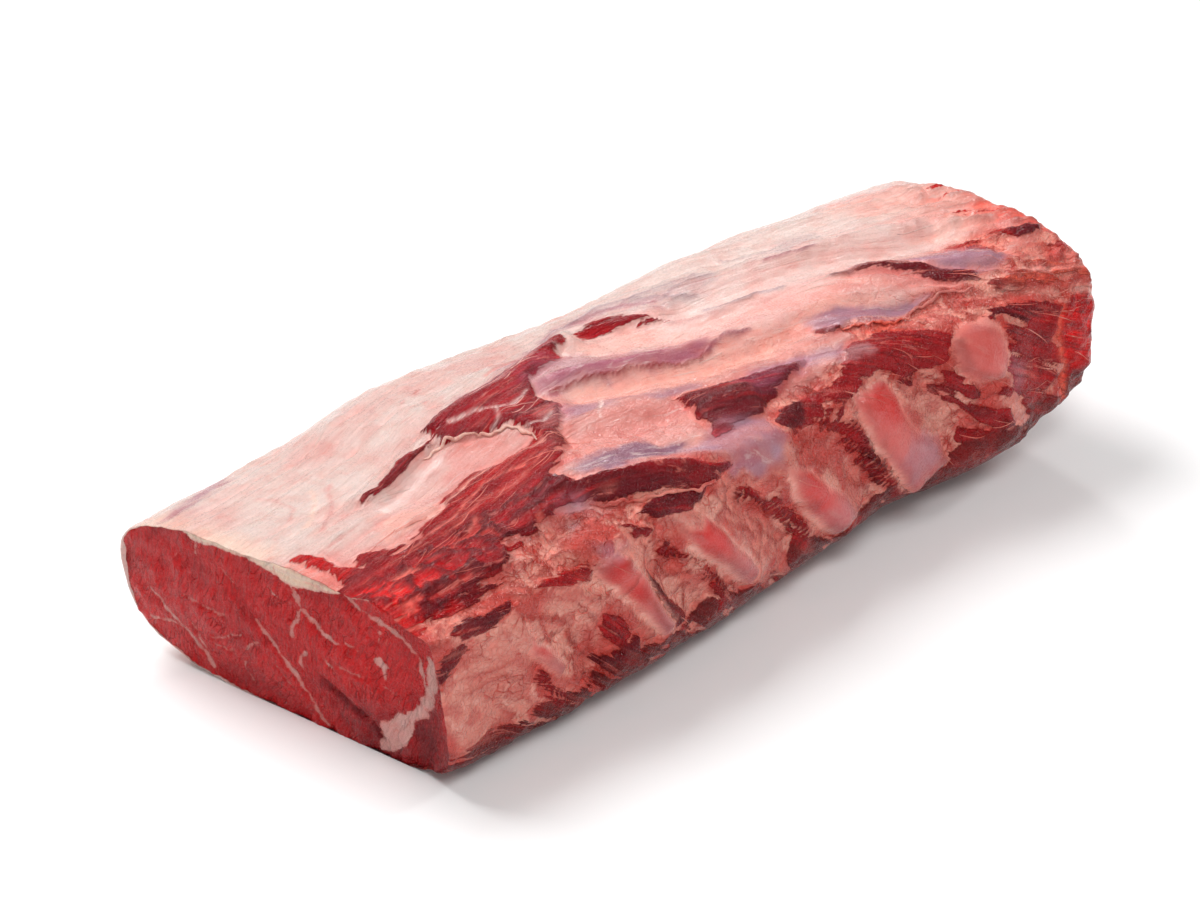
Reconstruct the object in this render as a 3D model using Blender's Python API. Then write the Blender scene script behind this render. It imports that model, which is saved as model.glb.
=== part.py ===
"""Boneless beef rib roll, one solid piece of raw meat lying on its underside.

The roll lies along X: its near cut face looks to -X and its far end to +X. The side that the ribs lay
against looks to -Y, the fat cover is on top, and the back of the roll looks to +Y. The origin is at the
middle of the footprint, on the surface that the roll rests on.

A place on the sleeve is a pair: its share of the length, from the near cut face, and its share of the
girth, from the middle of the underside round by the rib side, over the top and down the back.
"""

import bmesh
import bpy
import numpy as np

MM = 0.001

# Driving sizes of the whole roll
LENGTH = 410 * MM
GIRTH = 450 * MM  # mean length round a section, which turns shares of the girth into distances
END_ROUND = 12 * MM  # length over which the far end rounds off
END_PINCH = 0.28  # how much narrower the far cut is than the roll just before it
NEAR_ROUND = 3 * MM  # soft edge round the near cut face
FAR_LIFT = 30 * MM  # how far the underside rises at the far end
LIFT_FROM = 0.78  # share of the length where that rise begins
FLAT_DEPTH = 1.8 * MM  # how much of the rounded underside the table presses flat

# The section along the length: how far out the rib side and the back reach, and how high the top is
STATIONS = np.array([0, 0.14, 0.28, 0.42, 0.56, 0.70, 0.85, 1.0])
RIB_REACH = np.array([89.3, 91.6, 93.5, 91.0, 86.1, 82.3, 92.5, 92.0]) * MM
BACK_REACH = np.array([86.0, 83.8, 86.6, 86.0, 83.1, 77.3, 67.8, 52.4]) * MM
TOP_HEIGHT = np.array([79.0, 86.7, 96.5, 95.7, 96.2, 103.7, 108.4, 108.9]) * MM
WAIST = (0.43, 0.50)  # height of the widest line, as a share of the top's, near and far
# Squareness of the four quarters, near and far: lower rib side, upper rib side, upper back, lower back
NEAR_SQUARE = np.array([3.96, 5.00, 3.07, 2.35])
FAR_SQUARE = np.array([2.76, 3.40, 1.94, 2.49])

# The near cut isn't square to the length: it leans back with height and with distance to the back
CUT_LEAN_UP = -0.16
CUT_LEAN_ACROSS = -0.12
CUT_LEAN_ENDS = 0.45  # share of the length over which the lean dies out
LEAN_HEIGHT = 44 * MM  # height that stays in place when the cut leans

# Relief: each row is a path of places, its half width and its height, negative where it is sunk
RIB_BEDS = [  # smooth shallow hollows that the ribs left, slanting down towards the far end
    ([(0.100, 0.300), (0.140, 0.245)], 8 * MM, -2.0 * MM),
    ([(0.205, 0.330), (0.245, 0.300), (0.290, 0.225)], 11 * MM, -3.5 * MM),
    ([(0.330, 0.305), (0.385, 0.270), (0.435, 0.220)], 11 * MM, -3.5 * MM),
    ([(0.490, 0.300), (0.540, 0.265), (0.590, 0.210)], 12 * MM, -3.5 * MM),
    ([(0.600, 0.335), (0.655, 0.285), (0.705, 0.200)], 16 * MM, -4.0 * MM),
    ([(0.770, 0.340), (0.810, 0.290), (0.845, 0.210)], 14 * MM, -3.0 * MM),
    ([(0.935, 0.310), (0.965, 0.220)], 10 * MM, -2.5 * MM),
]
FAT_FINGERS = [  # pads of meat and fat from between the ribs, which stand proud
    ([(0.030, 0.290), (0.060, 0.220)], 17 * MM, 3.5 * MM),
    ([(0.150, 0.300), (0.190, 0.230)], 15 * MM, 3.5 * MM),
    ([(0.285, 0.290), (0.345, 0.220)], 13 * MM, 4.0 * MM),
    ([(0.410, 0.305), (0.500, 0.225)], 13 * MM, 4.0 * MM),
    ([(0.540, 0.325), (0.635, 0.225)], 13 * MM, 3.5 * MM),
    ([(0.720, 0.315), (0.765, 0.220)], 15 * MM, 4.0 * MM),
    ([(0.880, 0.300), (0.900, 0.210)], 17 * MM, 3.5 * MM),
    ([(0.170, 0.362), (0.270, 0.352)], 10 * MM, 2.5 * MM),
    ([(0.520, 0.375), (0.610, 0.352)], 10 * MM, 2.5 * MM),
    ([(0.740, 0.385), (0.880, 0.350)], 11 * MM, 3.0 * MM),
]
FAT_STRIPS = [  # long pads of cover fat between the bared muscles of the top
    ([(0.040, 0.560), (0.160, 0.570), (0.300, 0.600)], 34 * MM, 2.5 * MM),
    ([(0.150, 0.490), (0.260, 0.480)], 16 * MM, 2.5 * MM),
    ([(0.310, 0.440), (0.430, 0.410)], 14 * MM, 3.0 * MM),
    ([(0.380, 0.495), (0.560, 0.445), (0.760, 0.390)], 14 * MM, 3.5 * MM),
    ([(0.500, 0.560), (0.680, 0.500), (0.860, 0.470)], 20 * MM, 3.5 * MM),
    ([(0.700, 0.580), (0.920, 0.540)], 20 * MM, 2.0 * MM),
]
FURROWS = [  # seams between the muscles, and windows where the fat cover is torn away
    ([(0.120, 0.520), (0.230, 0.540), (0.340, 0.545), (0.460, 0.580)], 9 * MM, -3.0 * MM),
    ([(0.290, 0.510), (0.290, 0.460)], 9 * MM, -2.0 * MM),
    ([(0.360, 0.530), (0.480, 0.495), (0.580, 0.475)], 8 * MM, -3.0 * MM),
    ([(0.470, 0.600), (0.570, 0.560)], 7 * MM, -2.0 * MM),
    ([(0.230, 0.400), (0.330, 0.365), (0.420, 0.345), (0.500, 0.335)], 10 * MM, -4.0 * MM),
    ([(0.440, 0.405), (0.500, 0.390)], 11 * MM, -3.5 * MM),
    ([(0.640, 0.425), (0.700, 0.395)], 7 * MM, -2.0 * MM),
    ([(0.760, 0.465), (0.880, 0.400)], 8 * MM, -2.5 * MM),
    ([(0.620, 0.362), (0.740, 0.340)], 10 * MM, -3.0 * MM),
    ([(0.000, 0.390), (0.120, 0.375), (0.200, 0.380)], 15 * MM, -3.5 * MM),
    ([(0.000, 0.330), (0.110, 0.325)], 8 * MM, -2.5 * MM),
]
BUMPS = 2.0 * MM  # height of the broad unevenness of the whole piece

# The near cut face: shallow swells of the muscles, and the strip of fat and lean at its rib-side edge
FACE_SWELLS = [  # centre across and up, half widths, and how far it stands out
    ((25 * MM, 38 * MM), (42 * MM, 26 * MM), 3.5 * MM),
    ((-38 * MM, 34 * MM), (28 * MM, 26 * MM), 3.0 * MM),
]
EDGE_STRIP_OUT = 6 * MM
EDGE_STRIP_WIDTH = 17 * MM
FAR_BULGE = 2 * MM  # how far the far cut face stands out
FACE_SCALES = (0.93, 0.80, 0.62, 0.42, 0.20)  # rings of the flat cut faces, towards their middles

# Fineness of the mesh
RINGS = 58
ROUND_RINGS = 5
UNDERSIDE_STEPS, RIB_SIDE_STEPS, TOP_STEPS, BACK_STEPS = 7, 20, 31, 10
UNDERSIDE_END, RIB_SIDE_END, TOP_END, BACK_END = 0.18, 0.36, 0.67, 0.84  # shares of the girth
RING_SLANT = -0.75  # how the rings slant on the rib side, share of length for each share of girth
SLANT_FROM = 0.33  # share of the girth where the slant begins
SLANT_ENDS = 0.16  # share of the length at either end over which the slant dies out
PROFILE_POINTS = 721

LEAN_RED = (0.300, 0.030, 0.026, 1)


def flow(share, values):
    """The smooth curve through a value at each station: a cubic with matched slopes at the stations."""
    slope = np.gradient(values, STATIONS)
    left = np.clip(np.searchsorted(STATIONS, share, side="right") - 1, 0, len(STATIONS) - 2)
    width = STATIONS[left + 1] - STATIONS[left]
    s = (share - STATIONS[left]) / width
    start = (2 * s**3 - 3 * s**2 + 1) * values[left]
    leave = (s**3 - 2 * s**2 + s) * width * slope[left]
    end = (3 * s**2 - 2 * s**3) * values[left + 1]
    arrive = (s**3 - s**2) * width * slope[left + 1]
    return start + leave + end + arrive


def rise_at(share):
    """Height of the underside over the table: it curves up at the far end."""
    return FAR_LIFT * np.clip((share - LIFT_FROM) / (1 - LIFT_FROM), 0, 1) ** 2


def sections(along, around):
    """Points of the bare roll, for one share of the girth and a share of the length for each ring.

    A section is a superellipse of four quarters, and places on it are spaced evenly round its outline.
    The far end is rounded in, the underside rises there, and the near cut leans."""
    share = along[:, None]
    angle = np.linspace(-np.pi / 2, 1.5 * np.pi, PROFILE_POINTS)[None, :]
    quarter = np.clip(((angle + np.pi / 2) / (np.pi / 2) + 1e-9).astype(int), 0, 3)
    square = NEAR_SQUARE[quarter] * (1 - share) + FAR_SQUARE[quarter] * share
    across = np.sign(np.cos(angle)) * np.abs(np.cos(angle)) ** (2 / square)
    up = np.sign(np.sin(angle)) * np.abs(np.sin(angle)) ** (2 / square)
    rib, back, top = flow(share, -RIB_REACH), flow(share, BACK_REACH), flow(share, TOP_HEIGHT)
    rise = rise_at(share)
    floor = rise * (3 + across) / 4
    waist = (WAIST[0] * (1 - share) + WAIST[1] * share) * (top - rise) + rise
    past = np.clip((share * LENGTH - LENGTH + END_ROUND) / END_ROUND, 0, 1)
    pinch = 1 - END_PINCH * (1 - np.sqrt(np.clip(1 - past**2.2, 0, 1)))
    y = (rib + back) / 2 - (back - rib) / 2 * across * pinch
    z = waist + np.where(up > 0, (top - waist) * up, (waist - floor) * up) * pinch
    steps = np.hypot(np.diff(y, axis=1), np.diff(z, axis=1))
    gone = np.concatenate([np.zeros((len(along), 1)), np.cumsum(steps, axis=1)], axis=1)
    gone /= gone[:, -1:]
    y = np.array([np.interp(around, g, row) for g, row in zip(gone, y)])
    z = np.array([np.interp(around, g, row) for g, row in zip(gone, z)])
    lean = np.clip(1 - along / CUT_LEAN_ENDS, 0, 1)
    x = (along - 0.5) * LENGTH + lean * (CUT_LEAN_UP * (z - LEAN_HEIGHT) + CUT_LEAN_ACROSS * y)
    return np.stack([x, y, z], -1)


def ridge(along, around, path, half_width):
    """1 on the path and 0 from half_width away, with a smooth shoulder; distances are on the sleeve."""
    here = np.stack(np.broadcast_arrays(along * LENGTH, around * GIRTH), -1)
    places = np.array(path) * (LENGTH, GIRTH)
    nearest = np.full(here.shape[:-1], np.inf)
    for start, end in zip(places[:-1], places[1:]):
        run = end - start
        share = np.clip(((here - start) @ run) / (run @ run), 0, 1)
        nearest = np.minimum(nearest, np.linalg.norm(here - start - share[..., None] * run, axis=-1))
    inside = np.clip(1 - nearest / half_width, 0, 1)
    return inside * inside * (3 - 2 * inside)


def relief(along, around):
    """Height over the bare roll: the rib beds, fat and seams, and a broad unevenness from three waves,
    which fades out on the underside."""
    turn = 2 * np.pi * around
    waves = 0.5 * np.sin(3 * turn + 9.1 * along + 1.3) * np.sin(11.7 * along + 0.4)
    waves += 0.3 * np.sin(5 * turn - 17.3 * along + 2.1)
    waves += 0.3 * np.sin(8 * turn + 31.0 * along) * np.sin(23.0 * along + 1.1)
    height = BUMPS * waves * np.clip((np.minimum(around, 1 - around) - 0.05) / 0.12, 0, 1)
    for path, half_width, rise in RIB_BEDS + FAT_FINGERS + FAT_STRIPS + FURROWS:
        height = height + rise * ridge(along, around, path, half_width)
    return height


def outward(points):
    """Unit normals of a grid that closes round its second direction, pointing out of the roll."""
    forward = np.gradient(points, axis=0)
    round_it = np.roll(points, -1, axis=1) - np.roll(points, 1, axis=1)
    normal = np.cross(round_it, forward)
    return normal / np.linalg.norm(normal, axis=-1, keepdims=True)


def face_relief(points):
    """How far the near cut face stands out at each point: two muscle swells and the rib-side strip."""
    y, z = points[..., 1], points[..., 2]
    out = np.zeros(y.shape)
    for (across, up), (wide, tall), rise in FACE_SWELLS:
        out += rise * np.exp(-(((y - across) / wide) ** 2) - ((z - up) / tall) ** 2)
    from_edge = (y + RIB_REACH[0] + 4 * MM) / EDGE_STRIP_WIDTH
    out += EDGE_STRIP_OUT * np.exp(-(from_edge**2)) * np.clip(1.3 - z / TOP_HEIGHT[0], 0, 1)
    return out


def sleeve():
    """The rings from the near cut to the far one, as a grid of points with the relief on it, and the
    relief's heights. On the rib side the rings slant as the rib beds do."""
    even = np.linspace(0, 1 - END_ROUND / LENGTH, RINGS)
    turn = np.linspace(0, np.pi / 2, ROUND_RINGS + 1)[1:]
    upright = np.concatenate([even, even[-1] + np.sin(turn) * END_ROUND / LENGTH])
    corners = [0, UNDERSIDE_END, RIB_SIDE_END, TOP_END, BACK_END, 1]
    counts = [UNDERSIDE_STEPS, RIB_SIDE_STEPS, TOP_STEPS, BACK_STEPS, UNDERSIDE_STEPS]
    spans = [np.linspace(a, b, n, endpoint=False) for a, b, n in zip(corners, corners[1:], counts)]
    around = np.concatenate(spans)
    slant = RING_SLANT * np.minimum(around - SLANT_FROM, 0) * np.clip(around / UNDERSIDE_END, 0, 1)
    inner = np.clip(np.minimum(upright, even[-1] - upright) / SLANT_ENDS, 0, 1)
    along = upright[:, None] + slant[None, :] * (inner * inner * (3 - 2 * inner))[:, None]
    points = np.stack([sections(column, place) for column, place in zip(along.T, around)], axis=1)
    fade = np.clip((1 - along) * LENGTH / END_ROUND, 0, 1)
    height = relief(along, around[None, :]) * fade
    return points + outward(points) * height[..., None], height


def cut_rings(rim, stands_out):
    """Rings of a cut face, each the rim drawn in towards its middle, and the middle point last."""
    middle = rim.mean(axis=0)
    rings = [middle + (rim - middle) * scale for scale in FACE_SCALES] + [middle[None, :]]
    for ring in rings:
        ring[:, 0] -= stands_out(ring)
    return rings


def near_rim(points):
    """The near cut's edge, softened: the first ring drawn in a little and moved out along the length."""
    middle = points[0].mean(axis=0)
    rim = middle + (points[0] - middle) * (1 - 2 * NEAR_ROUND / TOP_HEIGHT[0])
    rim[:, 0] -= NEAR_ROUND * 0.6
    return rim


def build_mesh():
    """Joins every ring to the next with pairs of triangles and closes both ends with fans.

    Each pair shares the diagonal whose two ends differ least in relief, so edges run along the beds."""
    points, height = sleeve()
    near = cut_rings(near_rim(points), face_relief)
    far = cut_rings(points[-1], lambda ring: -FAR_BULGE * np.ones(len(ring)))
    rings = near[-2::-1] + [near_rim(points)] + list(points) + far[:-1]
    heights = np.zeros((len(rings), len(rings[0])))
    heights[len(near):len(near) + len(height)] = height
    everything = np.concatenate(rings + [near[-1], far[-1]])
    everything[:, 2] = np.maximum(everything[:, 2] - FLAT_DEPTH, 0)
    everything[:, :2] -= (everything[:, :2].min(axis=0) + everything[:, :2].max(axis=0)) / 2
    bm = bmesh.new()
    verts = [bm.verts.new(point) for point in everything]
    count = len(rings[0])
    loops = [verts[i * count:(i + 1) * count] for i in range(len(rings))]
    for row, (first, second) in enumerate(zip(loops, loops[1:])):
        for i in range(count):
            j = (i + 1) % count
            rising = abs(heights[row, i] - heights[row + 1, j])
            falling = abs(heights[row, j] - heights[row + 1, i])
            if rising < falling:
                bm.faces.new((first[i], second[i], second[j]))
                bm.faces.new((first[i], second[j], first[j]))
            else:
                bm.faces.new((first[i], second[i], first[j]))
                bm.faces.new((first[j], second[i], second[j]))
    for i in range(count):
        j = (i + 1) % count
        bm.faces.new((loops[0][j], verts[-2], loops[0][i]))
        bm.faces.new((loops[-1][i], verts[-1], loops[-1][j]))
    bmesh.ops.recalc_face_normals(bm, faces=bm.faces)
    mesh = bpy.data.meshes.new("rib_roll")
    bm.to_mesh(mesh)
    bm.free()
    mesh.shade_smooth()
    return mesh


def meat_material():
    """Raw lean beef under a wet surface."""
    material = bpy.data.materials.new("raw_beef")
    material.use_nodes = True
    shader = material.node_tree.nodes["Principled BSDF"]
    shader.inputs["Base Color"].default_value = LEAN_RED
    shader.inputs["Roughness"].default_value = 0.38
    shader.inputs["Metallic"].default_value = 0.0
    return material


def main():
    for old in list(bpy.data.objects):
        bpy.data.objects.remove(old)
    roll = bpy.data.objects.new("rib_roll", build_mesh())
    roll.data.materials.append(meat_material())
    bpy.context.scene.collection.objects.link(roll)


main()
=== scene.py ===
"""Raw boneless beef rib roll: its skin of fat, silverskin and bared muscle, and its two cut faces.

A place on the sleeve is a pair: its share of the length, from the near cut face, and its share of the
girth, from the middle of the underside round by the rib side, over the top and down the back. The tables
give places in thousandths, as one row of numbers. Lengths are in millimetres until a mesh is made.
"""

import math

import bpy
import numpy as np
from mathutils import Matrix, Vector


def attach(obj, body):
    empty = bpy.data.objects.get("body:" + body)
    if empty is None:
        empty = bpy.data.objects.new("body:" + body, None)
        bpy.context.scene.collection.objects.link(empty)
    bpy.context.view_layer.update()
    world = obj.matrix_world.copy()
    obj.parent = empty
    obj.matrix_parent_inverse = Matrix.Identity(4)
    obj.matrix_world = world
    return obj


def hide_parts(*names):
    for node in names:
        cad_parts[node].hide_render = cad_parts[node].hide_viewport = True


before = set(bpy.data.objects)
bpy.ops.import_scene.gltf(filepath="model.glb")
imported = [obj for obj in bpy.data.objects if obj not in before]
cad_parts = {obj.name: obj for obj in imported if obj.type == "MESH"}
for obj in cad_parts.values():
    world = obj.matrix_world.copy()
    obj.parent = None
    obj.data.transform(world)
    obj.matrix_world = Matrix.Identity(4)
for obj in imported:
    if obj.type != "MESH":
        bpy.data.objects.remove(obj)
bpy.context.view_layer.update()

MM = 0.001

# Sizes of the roll, the same as the solid's
LENGTH = 410.0
GIRTH = 450.0
END_ROUND = 12.0  # length of the rounding at the far end, and the share by which it narrows there
END_PINCH = 0.28
FAR_LIFT = 30.0  # how far the underside is off the floor at the far end, and where it starts to lift
LIFT_FROM = 0.78
FLAT_DEPTH = 1.8  # how much of the underside is pressed flat

# Shares of the length, and how far the roll goes at each to the rib side, to the back and up
STATIONS = np.array([0, 0.14, 0.28, 0.42, 0.56, 0.70, 0.85, 1.0])
RIB_REACH = np.array([89.3, 91.6, 93.5, 91.0, 86.1, 82.3, 92.5, 92.0])
BACK_REACH = np.array([86.0, 83.8, 86.6, 86.0, 83.1, 77.3, 67.8, 52.4])
TOP_HEIGHT = np.array([79.0, 86.7, 96.5, 95.7, 96.2, 103.7, 108.4, 108.9])

# At the near and the far end: height of the widest place as a share of the whole height, and how square the
# section is at its lower rib side, upper rib side, upper back and lower back (2 is an ellipse)
WAIST = (0.43, 0.50)
NEAR_SQUARE = np.array([3.96, 5.00, 3.07, 2.35])
FAR_SQUARE = np.array([2.76, 3.40, 1.94, 2.49])

# Lean of the near cut: mm along for each mm up and across, the share of the length where it has died away,
# and the height where it is nothing
CUT_LEAN_UP = -0.16
CUT_LEAN_ACROSS = -0.12
CUT_LEAN_ENDS = 0.45
LEAN_HEIGHT = 44.0

FOOTPRINT_SHIFT = (5.63, 5.08)  # moves the middle of the footprint to the origin

# The solid's relief: each row is a path of places, its half width and its height in mm
RIB_BEDS = [
    ([100, 300, 140, 245], 8, -2.0),
    ([205, 330, 245, 300, 290, 225], 11, -3.5),
    ([330, 305, 385, 270, 435, 220], 11, -3.5),
    ([490, 300, 540, 265, 590, 210], 12, -3.5),
    ([600, 335, 655, 285, 705, 200], 16, -4.0),
    ([770, 340, 810, 290, 845, 210], 14, -3.0),
    ([935, 310, 965, 220], 10, -2.5),
]
FAT_FINGERS = [
    ([30, 290, 60, 220], 17, 3.5),
    ([150, 300, 190, 230], 15, 3.5),
    ([285, 290, 345, 220], 13, 4.0),
    ([410, 305, 500, 225], 13, 4.0),
    ([540, 325, 635, 225], 13, 3.5),
    ([720, 315, 765, 220], 15, 4.0),
    ([880, 300, 900, 210], 17, 3.5),
    ([170, 362, 270, 352], 10, 2.5),
    ([520, 375, 610, 352], 10, 2.5),
    ([740, 385, 880, 350], 11, 3.0),
]
FAT_STRIPS = [
    ([40, 560, 160, 570, 300, 600], 34, 2.5),
    ([150, 490, 260, 480], 16, 2.5),
    ([310, 440, 430, 410], 14, 3.0),
    ([380, 495, 560, 445, 760, 390], 14, 3.5),
    ([500, 560, 680, 500, 860, 470], 20, 3.5),
    ([700, 580, 920, 540], 20, 2.0),
]
FURROWS = [
    ([120, 520, 230, 540, 340, 545, 460, 580], 9, -3.0),
    ([290, 510, 290, 460], 9, -2.0),
    ([360, 530, 480, 495, 580, 475], 8, -3.0),
    ([470, 600, 570, 560], 7, -2.0),
    ([230, 400, 330, 365, 420, 345, 500, 335], 10, -4.0),
    ([440, 405, 500, 390], 11, -3.5),
    ([640, 425, 700, 395], 7, -2.0),
    ([760, 465, 880, 400], 8, -2.5),
    ([620, 362, 740, 340], 10, -3.0),
    ([0, 390, 120, 375, 200, 380], 15, -3.5),
    ([0, 330, 110, 325], 8, -2.5),
]
BUMPS = 2.0  # height of the broad unevenness

FAR_OFF = -60.0  # mm inside a patch, where there is none

# Bared muscle on the sleeve: outline, colour name, how deep it lies, how far its edge is torn along the
# fibres, and how solid it is inside (a low number leaves fat between its streaks), all in mm
BARED = {
    "fresh_edge": ([8, 498, 22, 496, 27, 478, 24, 456, 36, 440, 70, 432, 100, 418, 50, 404, -10, 396,
        -10, 425, 8, 432, 14, 455, 10, 478], "fresh", 0.5, 0.25, 60),
    "streaky": ([30, 440, 55, 456, 76, 440, 110, 440, 150, 452, 165, 465, 200, 473, 225, 467, 265, 459,
        290, 458, 300, 442, 275, 425, 250, 410, 235, 400, 150, 400, -10, 405, -10, 430], "lean", 1.2, 1.8,
        6.0),
    "near_dark": ([-10, 412, 80, 420, 150, 415, 200, 410, 245, 408, 255, 392, 235, 378, 200, 372, 160, 376,
        140, 366, 110, 350, 60, 346, 15, 352, 12, 380, -10, 395], "maroon", 2.0, 1.8, 5.0),
    "shoulder_thread": ([498, 352, 560, 350, 600, 346, 610, 338, 560, 334, 520, 330, 500, 338], "lean", 1.0,
        2.2, -0.2),
    "corner_red": ([-10, 338, 12, 344, 26, 372, 34, 398, 20, 412, -10, 414], "fresh", 0.8, 2.2, 0.6),
    "near_gap": ([30, 332, 60, 333, 95, 330, 90, 320, 60, 320, 35, 322], "maroon", 1.8, 1.0, 60),
    "near_corner": ([-10, 302, 12, 312, 30, 316, 26, 306, 10, 296, -10, 290], "maroon", 1.5, 1.0, 60),
    "window": ([112, 511, 125, 518, 150, 525, 180, 533, 200, 532, 226, 530, 234, 536, 226, 547, 250, 556,
        300, 561, 350, 567, 395, 575, 410, 583, 440, 588, 456, 583, 446, 570, 420, 558, 395, 550, 370, 542,
        358, 532, 350, 518, 336, 508, 345, 495, 340, 480, 325, 470, 312, 455, 302, 440, 286, 440, 286, 470,
        288, 498, 272, 505, 252, 511, 240, 521, 226, 527, 200, 524, 150, 514], "window", 2.0, 0.7, 60),
    "upper_strip": ([474, 583, 500, 585, 530, 578, 555, 563, 572, 547, 548, 556, 510, 571], "window", 1.2,
        1.3, 1.4),
    "jagged_window": ([446, 427, 470, 422, 510, 410, 550, 402, 600, 390, 570, 380, 530, 376, 512, 368,
        496, 362, 470, 364, 428, 367, 436, 398], "maroon", 2.0, 0.6, 60),
    "valley": ([200, 388, 226, 396, 262, 386, 305, 375, 340, 366, 365, 356, 385, 344, 420, 336, 385, 332,
        350, 334, 315, 342, 280, 354, 250, 368, 225, 380], "maroon", 2.2, 0.9, 60),
    "valley_pocket": ([278, 338, 310, 342, 345, 338, 385, 340, 372, 326, 345, 318, 318, 322, 295, 322],
        "maroon", 1.8, 0.8, 60),
    "pocket_right": ([498, 352, 520, 358, 560, 350, 555, 340, 520, 335, 500, 338], "maroon", 1.5, 1.6, 3.0),
    "red_shoulder": ([590, 345, 630, 360, 660, 373, 700, 368, 735, 355, 760, 342, 756, 318, 720, 312,
        690, 318, 668, 330, 620, 334], "lean", 1.4, 2.4, 3.0),
    "far_furrow": ([755, 460, 780, 450, 797, 437, 810, 430, 828, 411, 850, 393, 846, 382, 820, 390,
        802, 406, 794, 424, 780, 442], "maroon", 1.4, 0.8, 3.5),
    "furrow_mouth": ([645, 416, 655, 412, 668, 401, 662, 396, 650, 404], "maroon", 1.5, 0.4, 60),
    "far_nick": ([930, 422, 950, 414, 975, 400, 968, 392, 940, 398], "maroon", 1.8, 0.8, 60),
    "far_fresh": ([862, 444, 900, 440, 935, 430, 930, 412, 905, 404, 885, 424], "fresh", 0.8, 2.0, -1.4),
    "far_top": ([930, 530, 1010, 560, 1010, 400, 950, 420, 940, 480], "fresh", 0.8, 2.4, -2.6),
    "far_red": ([860, 384, 925, 366, 960, 350, 1010, 350, 1010, 300, 970, 318, 925, 336, 885, 356],
        "orange", 1.0, 2.6, 1.2),
    "far_band": ([815, 346, 845, 348, 885, 335, 925, 312, 915, 298, 880, 312, 845, 328], "maroon", 1.2, 1.8,
        5.0),
    "lattice": ([838, 318, 880, 314, 920, 300, 924, 250, 910, 206, 870, 208, 848, 250, 834, 290], "lean",
        1.0, 2.8, 2.2),
    "low_red": ([750, 310, 768, 302, 775, 280, 800, 272, 838, 264, 842, 220, 800, 206, 775, 218, 762, 262,
        750, 290], "lean", 1.0, 2.8, 2.4),
    "blade": ([918, 316, 950, 316, 980, 300, 1010, 292, 1010, 180, 936, 180, 930, 230, 918, 270], "blade",
        -0.8, 0.2, 60),
    "low_patch": ([200, 270, 216, 272, 228, 258, 236, 236, 222, 228, 206, 248], "lean", 1.4, 1.4, 60),
    "low_hollow": ([186, 230, 202, 226, 246, 231, 252, 208, 222, 200, 198, 212], "maroon", 2.2, 0.8, 60),
    "bed_lip_2": ([130, 331, 170, 329, 204, 318, 196, 309, 160, 316, 140, 323], "blade", 1.5, 0.5, 60),
    "bed_lip_3": ([250, 338, 265, 332, 292, 320, 276, 316, 258, 322], "lean", 1.4, 0.6, 60),
    # Dark brownish red along the side of bed 2: partly its own colour, partly painted shadow where the next
    # pad overhangs
    "bed_side_2_dark_and_shadow": ([262, 294, 276, 270, 292, 252, 304, 236, 322, 218, 305, 216, 290, 234, 278, 250,
        266, 272], "maroon", 1.6, 1.4, 2.0),
    # Dark red band along the lower edge: partly its own colour, partly painted shade near the floor
    "dark_low_edge_and_painted_shade": ([-20, 212, 60, 206, 110, 216, 160, 208, 200, 214, 250, 216, 300, 208, 370, 220, 420, 208,
        500, 206, 520, 222, 560, 208, 620, 204, 680, 220, 720, 200, 800, 218, 900, 216, 1020, 214,
        1020, 170, -20, 170], "low", 0.8, 1.6, 1.6),
    "underside": ([-20, 190, 100, 186, 200, 200, 300, 184, 400, 196, 500, 186, 600, 196, 700, 182, 800, 194,
        900, 196, 1020, 200, 1020, -200, -20, -200], "low", 0.8, 3.0, 3.0),
}

# Combs of small red teeth beside the rib beds: path, reach and pitch in mm
COMBS = [
    ([556, 344, 585, 318, 604, 294, 626, 269, 648, 247, 682, 208], 5.2, 3.3),
    ([422, 304, 440, 292, 470, 277, 495, 256, 515, 236, 530, 208], 3.0, 3.0),
    ([298, 298, 322, 277, 345, 263, 362, 249, 376, 233, 384, 210], 3.4, 2.6),
    ([118, 240, 128, 222, 140, 208], 3.0, 2.6),
]

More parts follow.
